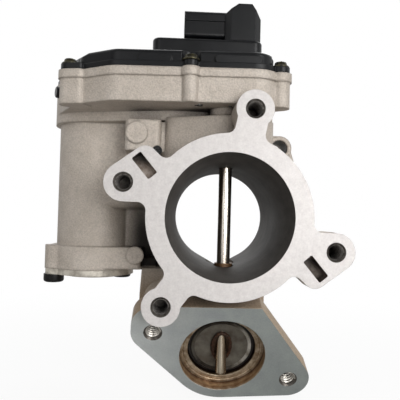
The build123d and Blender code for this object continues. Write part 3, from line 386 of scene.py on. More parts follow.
@dataclass(frozen=True)
class CastFinish(Finish):
    """Shot-blasted casting that heat has browned low down, with a painted shadow that darkens one
    hollow.

    Attributes:
        stains_and_shade: hex colour of the heat stain and of the painted shadow, with an axis, a
            start and a full
        height for each of its edges: first the browned side, which ends at the motor well, then the
        painted shadow in the hollow between the well and the ring.
            edges: first the browned side, which ends at the motor well, then the hollow between
            the well and the ring.
    """

    stains_and_shade: tuple[tuple[str, tuple[tuple[str, float, float], ...]], ...] = (
        ("#E9D9C4", (("Z", -22.0, -44.0), ("X", -41.0, -40.99))),
        # Painted shadow: near black in the hollow between the motor well and the ring.
        (
            "#2E2924",
            (
                ("X", -54.0, -41.0),
                ("X", 0.0, -10.0),
                ("Z", 24.0, -10.0),
                ("Z", -27.0, -26.0),
                ("Y", 44.6, 45.2),
            ),
        ),
    )

    def colour(self, tree: Tree, place: Source) -> Source:
        """Adds the casting's colour with its heat stain and its painted shadow and returns it."""
        colour = self.mottle.colour(tree, place)
        axes = add_node(tree, "ShaderNodeSeparateXYZ", links={"Vector": place})
        for tint, edges in self.stains_and_shade:
            share: Source | None = None
            for axis, start, full in edges:
                part = add_node(
                    tree,
                    "ShaderNodeMapRange",
                    {"From Min": start * MM, "From Max": full * MM},
                    {"Value": axes.outputs[axis]},
                    interpolation_type="SMOOTHSTEP",
                )
                if share is not None:
                    links = {0: share, 1: part}
                    part = add_node(tree, "ShaderNodeMath", links=links, operation="MULTIPLY")
                share = part
            colour = stained(tree, colour, tint, share)
        return colour


# Shot-blasted aluminium sand casting: warm pale grey, dull, with a sandy bite. The blast marks are
# about 0.2 mm across and are drawn at 0.75 mm so that they show.
CAST = CastFinish(
    "cast_aluminium_blasted",
    Mottle("#C2B9AF", "#AEA499", 9.0, 0.3, speckle=0.13, speckle_mm=0.75),
    Grain(0.75, 0.25, edge_mm=1.6),
    0.55,
    0.25,
    shine=0.4,
    # Painted shade in the casting's corners.
    corner_shade=PaintedCornerShade(),
)
# Face-milled aluminium: nearly white, with faint cutter marks 0.6 mm apart.
FACED = Finish(
    "aluminium_face_milled",
    Mottle("#CECAC7", "#BFBAB8", 2.5, 0.3, speckle=0.05, speckle_mm=0.8),
    Grain(0.6, 0.012, edge_mm=0.25, stretch=(1.0, 1.0, 0.35)),
    0.42,
    0.15,
    shine=0.4,
)
# Bored aluminium, coloured dark warm grey as painted shade of the shaded bore wall: satin, with
# fine tool rings.
BORED = Finish(
    "aluminium_bored_shaded",
    Mottle("#4A4642", "#3D3936", 6.0, speckle=0.08),
    Grain(0.5, 0.02, stretch=(0.5, 2.5, 0.5)),
    0.62,
    shine=0.25,
    # Painted shade in the bore's corners.
    corner_shade=PaintedCornerShade("#3A332C", 7.0, 0.3, 0.8),
)


@dataclass(frozen=True)
class BandedFinish(Finish):
    """Metal whose heat tint changes band by band along one axis.

    Attributes:
        start_mm: a point of the plane where the bands start.
        along: the way they go.
        bands: distance from the start and hex colour of each band, in order.
        waver_mm: how far the bands wander.
    """

    start_mm: Triple = tuple(PORT_MOUTH)
    along: Triple = tuple(PORT_IN)
    bands: tuple[tuple[float, str], ...] = ((0.0, "#A99A82"), (8.0, "#54473B"))
    waver_mm: float = 0.5

    def colour(self, tree: Tree, place: Source) -> Source:
        """Adds the bands under the mottle and returns the result."""
        from_start = add_node(
            tree,
            "ShaderNodeVectorMath",
            {1: tuple(c * MM for c in self.start_mm)},
            {0: place},
            operation="SUBTRACT",
        )
        depth = add_node(
            tree, "ShaderNodeVectorMath", {1: self.along}, {0: from_start}, operation="DOT_PRODUCT"
        )
        noise = add_node(
            tree,
            "ShaderNodeTexNoise",
            {"Scale": 1 / (WAVER_PATCH_MM * MM), "Detail": 4.0},
            {"Vector": place},
        )
        waver = add_node(
            tree,
            "ShaderNodeMapRange",
            {"To Min": -2 * self.waver_mm * MM, "To Max": 2 * self.waver_mm * MM},
            {"Value": noise},
        )
        wavy = add_node(tree, "ShaderNodeMath", links={0: depth, 1: waver}, operation="ADD")
        reach = self.bands[-1][0]
        share = add_node(tree, "ShaderNodeMapRange", {"From Max": reach * MM}, {"Value": wavy})
        ramp = add_node(tree, "ShaderNodeValToRGB", links={"Fac": share})
        stops = ramp.color_ramp.elements
        for number, (depth_mm, tint) in enumerate(self.bands):
            stop = stops[number] if number in (0, 1) else stops.new(depth_mm / reach)
            stop.position = depth_mm / reach
            stop.color = linear(tint)
        return add_node(
            tree,
            "ShaderNodeVectorMath",
            links={0: ramp, 1: self.mottle.colour(tree, place)},
            operation="MULTIPLY",
        )


# Milled exhaust face: cool grey, darkened band by band towards its right as painted shade, with
# fine cutter marks across it, drawn 0.5 mm apart.
MILLED = BandedFinish(
    "aluminium_milled_shaded",
    Mottle("#FFFFFF", "#E9E9EC", 8.0, speckle=0.05),
    Grain(0.5, 0.012, edge_mm=0.3, stretch=(0.3, 1.0, 1.0)),
    0.42,
    0.35,
    start_mm=(-45.0, 0.0, 0.0),
    along=(1.0, 0.0, 0.0),
    # Painted shade: the face darkens from left to right.
    bands=((0.0, "#CACECB"), (22.0, "#AEB2B0"), (45.0, "#9DA29F"), (90.0, "#8C918E")),
    waver_mm=4.0,
)
# Port wall, browned by exhaust gas: bands of straw and rust over turned metal, with a pale band at
# the mouth as a painted highlight.
BURNT = BandedFinish(
    "aluminium_port_browned",
    Mottle("#FFFFFF", "#B5A698", 3.0, 0.4),
    Grain(0.5, 0.03, edge_mm=0.4),
    0.38,
    0.6,
    bands=(
        # Painted highlight: the pale band at the mouth.
        (0.0, "#F8F0E2"),
        (0.5, "#CDB69C"),
        (1.8, "#A08060"),
        (3.2, "#B69C7C"),
        (4.8, "#6E5440"),
        (9.0, "#4A3B2E"),
    ),
)
# Tapped hole wall between its threads: dark with cutting oil.
DRILLED = Finish("aluminium_drilled", Mottle("#6A655F", "#3E3934", 2.0), Grain(0.3, 0.02), 0.4, 0.6)
# Crests of cut threads: bright torn aluminium in the exhaust holes; the front holes' copy is darker
# and duller, as painted shade.
THREADED = Finish(
    "aluminium_thread_crest", Mottle("#E4E0D8", "#B8B2A8", 1.2), Grain(0.3, 0.02), 0.34, 0.6
)
# Painted shade: a darker copy of the thread crests for the front holes.
THREADED_SHADED = Finish(
    "aluminium_thread_shaded", Mottle("#A8A4A0", "#6A6560", 1.2), Grain(0.3, 0.02), 0.3, 0.7
)
# Cored pocket walls, as cast, without the blasted skin: grey, with bands of painted shade across
# each pocket, darkest in its upper part. The first four bands are the left pocket's and the rest
# the right one's, down Z.
POCKETED = BandedFinish(
    "aluminium_cored_pocket",
    Mottle("#FFFFFF", "#B4AAA0", 3.0, 0.5),
    Grain(0.5, 0.05, edge_mm=0.3),
    0.5,
    0.3,
    start_mm=(0.0, 0.0, 27.0),
    along=(0.0, 0.0, -1.0),
    # Painted shade: dark bands in the upper part of each pocket.
    bands=(
        (0.0, "#2E2A27"),
        (3.0, "#5A524C"),
        (6.0, "#A89C92"),
        (12.0, "#C2B6AC"),
        (42.0, "#C2B6AC"),
        (45.0, "#4A433E"),
        (50.0, "#7E746B"),
    ),
    waver_mm=0.5,
)
# Stainless sleeve, heat tinted: satin straw and bronze on its lip, a pale band at its rounded mouth
# as a painted highlight, and near black inside as painted shade.
SLEEVE = BandedFinish(
    "stainless_heat_tinted",
    Mottle("#FFFFFF", "#A89A8C", 3.0, 0.5),
    Grain(0.4, 0.01, edge_mm=0.3),
    0.34,
    0.7,
    bands=(
        # Painted highlight at the mouth, then painted shade down the bore.
        (5.0, "#B09C86"),
        (5.7, "#D6C6AC"),
        (6.0, "#6A543C"),
        (6.6, "#2C2018"),
        (20.0, "#1A1410"),
    ),
    waver_mm=0.15,
)
# Ground steel rod: bright, with very fine rings round it, drawn 0.25 mm apart; browned in the port.
ROD = BandedFinish(
    "steel_ground",
    Mottle("#FFFFFF", "#8C8074", 1.6, 0.8, stretch=(1.0, 1.0, 0.04)),
    Grain(0.25, 0.002, edge_mm=0.2, stretch=(0.1, 0.1, 1.0)),
    0.26,
    1.0,
    0.03,
    start_mm=(0.0, 0.0, 0.0),
    along=(0.0, 0.0, -1.0),
    bands=(
        (0.0, "#DCD5CB"),
        (22.0, "#D6CDC2"),
        (27.0, "#8C7A66"),
        (50.0, "#CFC2AE"),
        (74.0, "#E0D4C0"),
    ),
    waver_mm=0.8,
)
# Hardened steel shaft: cool grey, bright.
GROUND = Finish(
    "steel_shaft",
    Mottle("#BDB5AB", "#A9A197", 12.0),
    Grain(0.25, 0.002, edge_mm=0.2),
    0.28,
    1.0,
    0.03,
)
# Sintered bronze, oil-soaked: dull brown with open pores.
BRONZE = Finish("bronze_sintered", Mottle("#6E5236", "#3E2C1C", 1.5), Grain(0.3, 0.03), 0.5, 0.6)
# Glass-filled nylon, moulded black: very dark with a blue cast and a fine spark-eroded grain.
NYLON = Finish(
    "nylon_moulded_black",
    Mottle("#0C0D10", "#08090B", 12.0),
    Grain(0.5, 0.02, edge_mm=0.7),
    0.34,
    shine=0.3,
)
# Acetal, moulded in its natural colour: ivory, waxy.
ACETAL = Finish(
    "acetal_moulded_natural",
    Mottle("#E3DECF", "#D6D0BF", 8.0),
    Grain(0.4, 0.006, edge_mm=0.2),
    0.35,
)
# Steel screws with olive-black chromate: dark, patchy and semi-bright.
OLIVE_SCREW = Finish(
    "steel_olive_chromate", Mottle("#4A452F", "#1E1D17", 1.6, 0.6), Grain(0.3, 0.01), 0.36, 0.7
)
# Black-oxide screws: near black, oily sheen.
BLACK_SCREW = Finish(
    "steel_black_oxide", Mottle("#262626", "#151515", 2.0), Grain(0.3, 0.01), 0.38, 0.6
)
# Zinc-plated steel sheet and nuts: cool grey, softly bright.
ZINC = Finish(
    "steel_zinc_plated",
    Mottle("#C2C3C2", "#A2A4A4", 3.0),
    Grain(0.4, 0.006, edge_mm=0.2),
    0.33,
    0.9,
)
# Plated steel cover plate, dulled and stained by road dirt: grey, blotchy, satin.
COVER_PLATE = Finish(
    "steel_plate_dull",
    Mottle("#D2CCC0", "#9C958A", 4.0, 0.6),
    Grain(0.5, 0.02, edge_mm=0.4),
    0.45,
    0.4,
)
# Hardened bearing steel: cool bright grey.
BEARING = Finish(
    "steel_hardened_ground", Mottle("#B4B6B8", "#9A9C9E", 3.0), Grain(0.25, 0.003), 0.25, 1.0
)
# Cold-drawn spring wire: dark grey, with drawing marks.
SPRING_WIRE = Finish(
    "spring_wire_drawn", Mottle("#7D7F82", "#5C5E60", 2.0), Grain(0.2, 0.006), 0.32, 0.95
)
# Nitrile rubber, moulded: matte black.
NITRILE = Finish("nitrile_moulded", Mottle("#1C1D1E", "#131314", 5.0), Grain(0.4, 0.01), 0.7)
# Ferrite, pressed and fired: charcoal, gritty.
FERRITE = Finish("ferrite_fired", Mottle("#3A3A3C", "#2A2A2B", 2.5), Grain(0.35, 0.02), 0.6, 0.2)
# Stamped brass contacts: yellow, bright.
BRASS = Finish("brass_stamped", Mottle("#C9A85C", "#A98A45", 3.0), Grain(0.3, 0.004), 0.28, 1.0)
# Circuit board with green solder mask over woven glass: satin green.
BOARD = Finish("solder_mask_green", Mottle("#1E5B38", "#17492D", 5.0), Grain(0.5, 0.008), 0.3)
# Stacked electrical steel: dark grey, lined across the stack at 0.5 mm.
LAMINATED = Finish(
    "electrical_steel_stack",
    Mottle("#6A6B6E", "#4C4D4F", 2.0),
    Grain(0.5, 0.03, stretch=(0.1, 0.1, 1.0)),
    0.4,
    0.9,
)


@dataclass(frozen=True)
class FlapFinish(Finish):
    """Steel flap with a heat halo round its weld.

    Attributes:
        halo: hex colour next to the weld.
        centre_mm: the flap's centre.
        full_mm: how far from it the halo is at its full colour.
        halo_mm: how far from it the halo reaches.
        narrowing: how much narrower the halo is across the rod than along it.
    """

    halo: str = "#3E2D20"
    centre_mm: Triple = (0.0, 28.0, -61.2)
    full_mm: float = 4.95
    halo_mm: float = 9.0
    narrowing: float = 1.7

    def colour(self, tree: Tree, place: Source) -> Source:
        """Adds the sooty colour with its halo and returns it."""
        plain = self.mottle.colour(tree, place)
        squeeze = Vector((self.narrowing, 1.0, 1.0))
        from_centre = add_node(
            tree,
            "ShaderNodeMapping",
            {"Location": -Vector(self.centre_mm) * squeeze * MM, "Scale": squeeze},
            {"Vector": place},
        )
        far = add_node(tree, "ShaderNodeVectorMath", links={0: from_centre}, operation="LENGTH")
        near = add_node(
            tree,
            "ShaderNodeMapRange",
            {
                "From Min": self.full_mm * MM,
                "From Max": self.halo_mm * MM,
                "To Min": 1.0,
                "To Max": 0.0,
            },
            {"Value": far},
            interpolation_type="SMOOTHSTEP",
        )
        return add_node(
            tree,
            "ShaderNodeMix",
            {"B": linear(self.halo)},
            {"Factor": near, "A": plain},
            data_type="RGBA",
        )


# Pressed stainless flap, filmed with soot: grey-brown satin, with a brown halo round the weld.
FLAP = FlapFinish(
    "stainless_flap_sooty",
    Mottle("#817C72", "#5A534A", 6.0, 0.4),
    Grain(0.5, 0.02, edge_mm=0.2),
    0.36,
    0.75,
)
# Rim of the flap where it rubs the sleeve: sooty, with a painted highlight that makes it bright on
# its right.
FLAP_RIM = BandedFinish(
    "stainless_flap_rim_highlit",
    Mottle("#FFFFFF", "#B8B2A8", 4.0, 0.5),
    Grain(0.4, 0.02),
    0.3,
    0.85,
    start_mm=(-16.0, 0.0, 0.0),
    along=(1.0, 0.0, 0.0),
    bands=(
        # Painted highlight: the rim brightens towards its right.
        (0.0, "#8C8880"),
        (6.0, "#4A443E"),
        (18.0, "#48423C"),
        (25.0, "#A8A49C"),
        (32.0, "#E0DCD4"),
    ),
    waver_mm=1.5,
)
# Weld bead, rusted: dark brown, rough and patchy.
WELD = Finish(
    "weld_bead_rusted", Mottle("#4A3020", "#22150D", 1.2, 0.6), Grain(0.5, 0.06), 0.5, 0.5
)
# Edge of the flap, next to the sleeve: dull, painted near black as shade in the gap.
EDGE_SHADE = Finish("stainless_flap_edge_shaded", Mottle("#2A2420", "#15110E", 2.0), Grain(0.4, 0.03), 0.6, 0.2)


# ---- Mesh helpers ------------------------------------------------------------------------------
def new_object(name: str, mesh: bpy.types.Mesh) -> Piece:
    """Puts a mesh in the scene under a name, with its place in the mesh."""
    piece = bpy.data.objects.new(name, mesh)
    bpy.context.scene.collection.objects.link(piece)
    return piece


def keep_piece(
    bm: Solid, name: str, finishes: list[Finish], crisp_degrees: float, recalc: bool = False
) -> Piece:
    """Turns a working mesh into a piece and frees it.

    Args:
        bm: the working mesh, in metres.
        name: the piece's name.
        finishes: its finishes, by number.
        crisp_degrees: angle past which an edge stays crisp.
        recalc: True where its faces still have to be turned outward.

    Returns:
        The piece.
    """
    if recalc:
        bmesh.ops.recalc_face_normals(bm, faces=bm.faces)
    mesh = bpy.data.meshes.new(name)
    bm.to_mesh(mesh)
    bm.free()
    for finish in finishes:
        mesh.materials.append(finish.material())
    smooth_by_angle(mesh, crisp_degrees)
    return new_object(name, mesh)


def dress(node: str, finish: Finish) -> Piece:
    """Gives a CAD node its finish in every material slot it has, and returns it."""
    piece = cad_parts[node]
    if not piece.data.materials:
        piece.data.materials.append(finish.material())
    for slot in piece.material_slots:
        slot.material = finish.material()
    return piece


def skin(bm: Solid, rings: list[Ring], numbers: Sequence[int], loop: bool = False) -> None:
    """Joins rings of corners, one after the other.

    Args:
        bm: the working mesh that has the corners.
        rings: the rings; one of a single corner closes the shape there.
        numbers: the number of the finish that follows each ring.
        loop: True where the last ring joins the first.
    """
    pairs = list(zip(rings, rings[1:], numbers))
    if loop:
        pairs.append((rings[-1], rings[0], numbers[-1]))
    for here, there, number in pairs:
        count = max(len(here), len(there))
        for step in range(count):
            after = (step + 1) % count
            if len(here) == 1:
                corners = (here[0], there[after], there[step])
            elif len(there) == 1:
                corners = (here[step], here[after], there[0])
            else:
                corners = (here[step], here[after], there[after], there[step])
            bm.faces.new(corners).material_index = number


def turned(
    rows: Sequence[tuple], steps: int, waves: Sequence[float] | None = None, loop: bool = False
) -> Solid:
    """A shape turned round Z.

    Args:
        rows: radius and height in millimetres, in order along the section, each with the number
            of the finish that follows where that isn't 0; a radius of 0 closes the shape.
        steps: corners of a turn.
        waves: height of each row's lobes, as a share of its radius, where it isn't round.
        loop: True where the section's last row joins its first.

    Returns:
        The shape in metres.
    """
    bm = bmesh.new()
    angles = [math.tau * step / steps for step in range(steps)]
    rings = []
    for (radius, height, *_), wave in zip(rows, waves or [0.0] * len(rows)):
        ring = []
        for angle in angles if radius else (0.0,):
            reach = radius * (1 + wave * math.cos(LOBES * angle)) * MM
            corner = (reach * math.cos(angle), reach * math.sin(angle), height * MM)
            ring.append(bm.verts.new(corner))
        rings.append(ring)
    skin(bm, rings, [row[2] if len(row) > 2 else 0 for row in rows], loop)
    return bm


def merged_copy(node: str) -> Solid:
    """A working copy of a CAD node's mesh, whose loose triangles are joined at their corners."""
    bm = bmesh.new()
    bm.from_mesh(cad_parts[node].data)
    bmesh.ops.remove_doubles(bm, verts=bm.verts, dist=MERGE_M)
    return bm


def separate_boxes(node: str) -> list[tuple[Vector, Vector]]:
    """Lowest and highest corner of each loose solid of a CAD node, in metres."""
    bm = merged_copy(node)
    left = set(bm.verts)
    boxes = []
    while left:
        group, edge = set(), {next(iter(left))}
        while edge:
            group |= edge
            edge = {link.other_vert(v) for v in edge for link in v.link_edges} - group
        left -= group
        spans = [[v.co[axis] for v in group] for axis in range(3)]
        boxes.append((Vector([min(s) for s in spans]), Vector([max(s) for s in spans])))
    bm.free()
    return sorted(boxes, key=lambda box: tuple(box[0]))


def smooth_by_angle(mesh: bpy.types.Mesh, degrees: float) -> None:
    """Shades a mesh smooth, with edges steeper than an angle kept crisp."""
    crisp = math.radians(degrees)
    bm = bmesh.new()
    bm.from_mesh(mesh)
    for face in bm.faces:
        face.smooth = True
    for edge in bm.edges:
        edge.smooth = len(edge.link_faces) == 2 and edge.calc_face_angle(0.0) < crisp
    bm.to_mesh(mesh)
    bm.free()


class NodeTree:
    """A geometry tree with named inputs, run on a set of points and turned to a plain mesh.

    Attributes:
        crisp_degrees: angle past which an edge of what it makes stays crisp.
    """

    crisp_degrees: float = 34.0

    def __init__(self, name: str, inputs: dict[str, str]) -> None:
        """Starts the tree.

        Args:
            name: the tree's name.
            inputs: name of each input to its socket type.
        """
        self.tree = bpy.data.node_groups.new(name, "GeometryNodeTree")
        new_socket = self.tree.interface.new_socket
        new_socket("Geometry", in_out="INPUT", socket_type="NodeSocketGeometry")
        self.keys = {
            key: new_socket(key, in_out="INPUT", socket_type=kind).identifier
            for key, kind in inputs.items()
        }
        new_socket("Geometry", in_out="OUTPUT", socket_type="NodeSocketGeometry")
        self.input = add_node(self.tree, "NodeGroupInput").outputs

    def facing(self) -> Source:
        """Adds the turn that points a copy's Z along its point's axis, and returns it."""
        axis = add_node(
            self.tree, "GeometryNodeInputNamedAttribute", {"Name": "axis"}, data_type="FLOAT_VECTOR"
        )
        return add_node(
            self.tree, "FunctionNodeAlignRotationToVector", links={"Vector": axis}, axis="Z"
        )

    def end(self, shape: Source, rotation: Source) -> None:
        """Ends the tree: a turned copy of a shape on every point, as real geometry, dressed.

        Args:
            shape: what is copied.
            rotation: how each copy is turned.
        """
        copies = add_node(
            self.tree,
            "GeometryNodeInstanceOnPoints",
            links={"Points": self.input["Geometry"], "Instance": shape, "Rotation": rotation},
        )
        real = add_node(self.tree, "GeometryNodeRealizeInstances", links={"Geometry": copies})
        dressed = add_node(
            self.tree,
            "GeometryNodeSetMaterial",
            links={"Geometry": real, "Material": self.input["Finish"]},
        )
        add_node(self.tree, "NodeGroupOutput", links={"Geometry": dressed})

    def run(
        self, name: str, points: list[Vector], axes: list[Vector], values: dict[str, object]
    ) -> Piece:
        """Runs the tree on points and keeps what it makes.

        Args:
            name: the new piece's name.
            points: where each copy goes, in metres.
            axes: which way each copy's Z points.
            values: the tree's inputs by name.

        Returns:
            A plain piece at the origin.
        """
        mesh = bpy.data.meshes.new(name + "_points")
        mesh.from_pydata(points, [], [])
        attribute = mesh.attributes.new("axis", "FLOAT_VECTOR", "POINT")
        attribute.data.foreach_set("vector", [c for axis in axes for c in axis])
        carrier = new_object(name + "_points", mesh)
        modifier = carrier.modifiers.new("tree", "NODES")
        modifier.node_group = self.tree
        for key, value in values.items():
            modifier[self.keys[key]] = value
        evaluated = carrier.evaluated_get(bpy.context.evaluated_depsgraph_get())
        made = bpy.data.meshes.new_from_object(evaluated)
        carrier.modifiers.clear()
        bpy.data.objects.remove(carrier)
        made.name = name
        smooth_by_angle(made, self.crisp_degrees)
        return new_object(name, made)


class ThreadTree(NodeTree):
    """Screw threads: a ridge that winds down a hole.

    Attributes:
        steps: points of the ridge in one turn.
        ridge_sides: sides of the ridge's section.
    """

    steps: int = 28
    ridge_sides: int = 4

    def __init__(self) -> None:
        """Builds the tree."""
        sizes = dict.fromkeys(("Hole Radius", "Pitch", "Turns", "Ridge"), "NodeSocketFloat")
        super().__init__("thread_ridges", {**sizes, "Finish": "NodeSocketMaterial"})
        height = add_node(
            self.tree,
            "ShaderNodeMath",
            links={0: self.input["Pitch"], 1: self.input["Turns"]},
            operation="MULTIPLY",
        )
        coil = add_node(
            self.tree,
            "GeometryNodeCurveSpiral",
            {"Resolution": self.steps},
            {
                "Rotations": self.input["Turns"],
                "Start Radius": self.input["Hole Radius"],
                "End Radius": self.input["Hole Radius"],
                "Height": height,
            },
        )
        upright = add_node(
            self.tree, "GeometryNodeSetCurveNormal", links={"Curve": coil}, mode="Z_UP"
        )
        section = add_node(
            self.tree,
            "GeometryNodeCurvePrimitiveCircle",
            {"Resolution": self.ridge_sides},
            {"Radius": self.input["Ridge"]},
        )
        ridge = add_node(
            self.tree,
            "GeometryNodeCurveToMesh",
            {"Fill Caps": True},
            {"Curve": upright, "Profile Curve": section},
        )
        self.end(ridge, self.facing())


class ScrewTree(NodeTree):
    """Screws: one screw set on every point, each turned by its own seeded amount."""

    def __init__(self) -> None:
        """Builds the tree."""
        super().__init__(
            "screws",
            {"Screw": "NodeSocketObject", "Seed": "NodeSocketInt", "Finish": "NodeSocketMaterial"},
        )
        screw = add_node(self.tree, "GeometryNodeObjectInfo", links={"Object": self.input["Screw"]})
        spin = add_node(
            self.tree,
            "FunctionNodeRandomValue",
            {"Min": (0.0, 0.0, 0.0), "Max": (0.0, 0.0, math.tau)},
            {"Seed": self.input["Seed"]},
            data_type="FLOAT_VECTOR",
        )
        both = add_node(
            self.tree,
            "FunctionNodeRotateRotation",
            links={"Rotation": self.facing(), "Rotate By": spin},
            rotation_space="LOCAL",
        )
        self.end(screw.outputs["Geometry"], both)


# ---- Sub-assemblies ----------------------------------------------------------------------------
class Cut(Enum):
    """How a face of the casting was made."""

    CAST = 0
    FACED = 1
    BORED = 2
    MILLED = 3
    BURNT = 4
    DRILLED = 5
    POCKETED = 6


@dataclass
class Housing:
    """The casting, with each machined face in its own finish, and the threads in its holes.

    A face is cut where its middle lies on a cutter's flat or inside its wall, give or take near
    and wall_near, and past_edge in from the wall's end. On a flat it also faces the cutter's way:
    the cosine is more than square.
    """

    mouth_r: float = 28.0
    depth: float = 65.0
    joint_z: float = 67.0
    hole_r: float = 3.4
    hole_depth: float = 20.0
    chamfer: float = 0.9
    thread_pitch: float = 1.5
    thread_turns: float = 9.0
    thread_gap: float = 0.1
    front_ridge: float = 0.42
    port_ridge: float = 0.546
    bridge_low: Triple = (-42.0, 50.0, -28.0)
    bridge_high: Triple = (-33.0, 58.0, -21.0)
    bridge_sag: float = 0.8
    bridge_squareness: float = 0.4
    bridge_slices: int = 9
    bridge_corners: int = 16
    ear_pitch_r: float = 48.0
    ear_angles: tuple[float, ...] = (78.3, 233.4, 163.2, 343.2)
    port_bolt_half: float = 34.7
    port_bolt_turn: float = -22.0
    recess_r: float = 20.0
    port_depth: float = 45.0
    port_top_z: float = -30.0
    pocket_place_r: float = 42.7
    pocket_angles: tuple[float, ...] = (150.4, 330.4)
    pocket_turns: tuple[float, ...] = (310.0, 130.0)
    pocket_half: tuple[float, float] = (5.8, 2.5)
    pocket_depth: float = 7.8
    near: float = 0.03
    wall_near: float = 0.05
    past_edge: float = 0.02
    square: float = 0.99
    nearly_square: float = 0.9
    crisp_degrees: float = 24.0
    bridge_crisp_degrees: float = 40.0

    def front_holes(self) -> list[Vector]:
        """Mouths of the tapped holes in the front face."""
        return [
            Vector((self.ear_pitch_r * math.cos(a), 0.0, self.ear_pitch_r * math.sin(a)))
            for a in map(math.radians, self.ear_angles)
        ]

    def port_holes(self) -> list[Vector]:
        """Mouths of the tapped holes in the exhaust face."""
        angle = math.radians(self.port_bolt_turn)
        up = PORT_OUT.cross(SIDEWAYS)
        arm = self.port_bolt_half * (SIDEWAYS * math.cos(angle) + up * math.sin(angle))
        return [PORT_MOUTH - arm, PORT_MOUTH + arm]

    def in_pocket(self, place: Vector) -> bool:
        """Tells whether a place, in millimetres, is in one of the two cored pockets."""
        if not self.past_edge < place.y < self.pocket_depth + self.wall_near:
            return False
        for degrees, turn_degrees in zip(self.pocket_angles, self.pocket_turns):
            angle, turn = math.radians(degrees), math.radians(turn_degrees)
            x = place.x - self.pocket_place_r * math.cos(angle)
            z = place.z - self.pocket_place_r * math.sin(angle)
            along = abs(x * math.cos(turn) + z * math.sin(turn))
            across = abs(z * math.cos(turn) - x * math.sin(turn))
            if along < self.pocket_half[0] and across < self.pocket_half[1]:
                return True
        return False

    def in_hole(self, place: Vector) -> bool:
        """Tells whether a place, in millimetres, is in one of the six tapped holes."""
        reach = self.hole_r + self.chamfer + self.wall_near
        for mouths, axis in ((self.front_holes(), BACKWARD), (self.port_holes(), PORT_IN)):
            for mouth in mouths:
                along = (place - mouth).dot(axis)
                aside = (place - mouth - axis * along).length
                if aside < reach and self.past_edge < along < self.hole_depth:
                    return True
        return False

    def cut_of(self, place: Vector, normal: Vector) -> Cut:
        """Tells how a face was made.

        Args:
            place: the face's middle, in millimetres.
            normal: its outward direction.

        Returns:
            The kind of cut.
        """
        depth = (PORT_MOUTH - place).dot(PORT_OUT)
        if abs(depth) < self.near and normal.dot(PORT_OUT) > self.square:
            return Cut.MILLED
        if self.in_hole(place):
            return Cut.DRILLED
        if (
            (abs(place.y) < self.near and normal.y < -self.square)
            or (abs(place.y - self.depth) < self.near and normal.y > self.square)
            or (abs(place.z - self.joint_z) < self.near and normal.z > self.square)
        ):
            return Cut.FACED
        if self.in_pocket(place):
            return Cut.POCKETED
        aside = place - PORT_MOUTH + PORT_OUT * depth
        in_port = aside.length < self.recess_r + 2 * self.wall_near and place.z < self.port_top_z
        inward = normal.dot(aside) < 0 or normal.dot(PORT_OUT) > self.nearly_square
        if in_port and inward and self.past_edge < depth < self.port_depth:
            return Cut.BURNT
        radial = Vector((place.x, 0.0, place.z))
        in_bore = radial.length < self.mouth_r + self.wall_near
        between = self.past_edge < place.y < self.depth - self.past_edge
        if in_bore and between and normal.dot(radial) < 0:
            return Cut.BORED
        return Cut.CAST

    def build(self) -> Piece:
        """Copies the casting with a material for each kind of cut."""
        bm = merged_copy("valve_housing")
        for face in bm.faces:
            cut = self.cut_of(face.calc_center_median() / MM, face.normal)
            face.material_index = cut.value
        finishes = [CAST, FACED, BORED, MILLED, BURNT, DRILLED, POCKETED]
        piece = keep_piece(bm, "housing_casting", finishes, self.crisp_degrees)
        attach(piece, "housing")
        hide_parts("valve_housing")
        return piece

    def threads(self) -> list[Piece]:
        """Winds a thread down each tapped hole, the front four darkened as painted shade, the
        exhaust two bright.
        """
        tree = ThreadTree()
        pieces = []
        for name, mouths, axis, finish, ridge in (
            ("front_hole_threads", self.front_holes(), BACKWARD, THREADED_SHADED, self.front_ridge),
            ("port_hole_threads", self.port_holes(), PORT_IN, THREADED, self.port_ridge),
        ):
            piece = tree.run(
                name,
                [(mouth + axis * self.chamfer) * MM for mouth in mouths],
                [axis] * len(mouths),
                {
                    "Hole Radius": (self.hole_r + self.thread_gap) * MM,
                    "Pitch": self.thread_pitch * MM,
                    "Turns": self.thread_turns,
                    "Ridge": ridge * MM,
                    "Finish": finish.material(),
                },
            )
            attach(piece, "housing")
            pieces.append(piece)
        return pieces

    def bridge(self) -> Piece:
        """The low web that ties the motor well's flange to the exhaust riser, its edges rounded."""
        low, high = Vector(self.bridge_low), Vector(self.bridge_high)
        middle, half = (low + high) / 2, (high - low) / 2
        angles = [math.tau * (n + 0.5) / self.bridge_corners for n in range(self.bridge_corners)]
        bm = bmesh.new()
        rings = []
        for step in range(self.bridge_slices):
            share = step / (self.bridge_slices - 1)
            sag = self.bridge_sag * math.sin(math.pi * share)
            ring = []
            for angle in angles:
                across, up = (
                    math.copysign(abs(side) ** self.bridge_squareness, side)
                    for side in (math.cos(angle), math.sin(angle))
                )
                drop = sag if up > 0 else 0.0
                place = (
                    low.x + (high.x - low.x) * share,
                    middle.y + half.y * across,
                    middle.z + half.z * up - drop,
                )
                ring.append(bm.verts.new([c * MM for c in place]))
            rings.append(ring)
        skin(bm, rings, [0] * len(rings))
        for end in (rings[0], rings[-1]):
            bm.faces.new(end)
        piece = keep_piece(bm, "well_bridge", [CAST], self.bridge_crisp_degrees, recalc=True)
        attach(piece, "housing")
        return piece


class Head(Enum):
    """Shapes of screw head."""

    FLANGED = "flanged"
    CHEESE = "cheese"


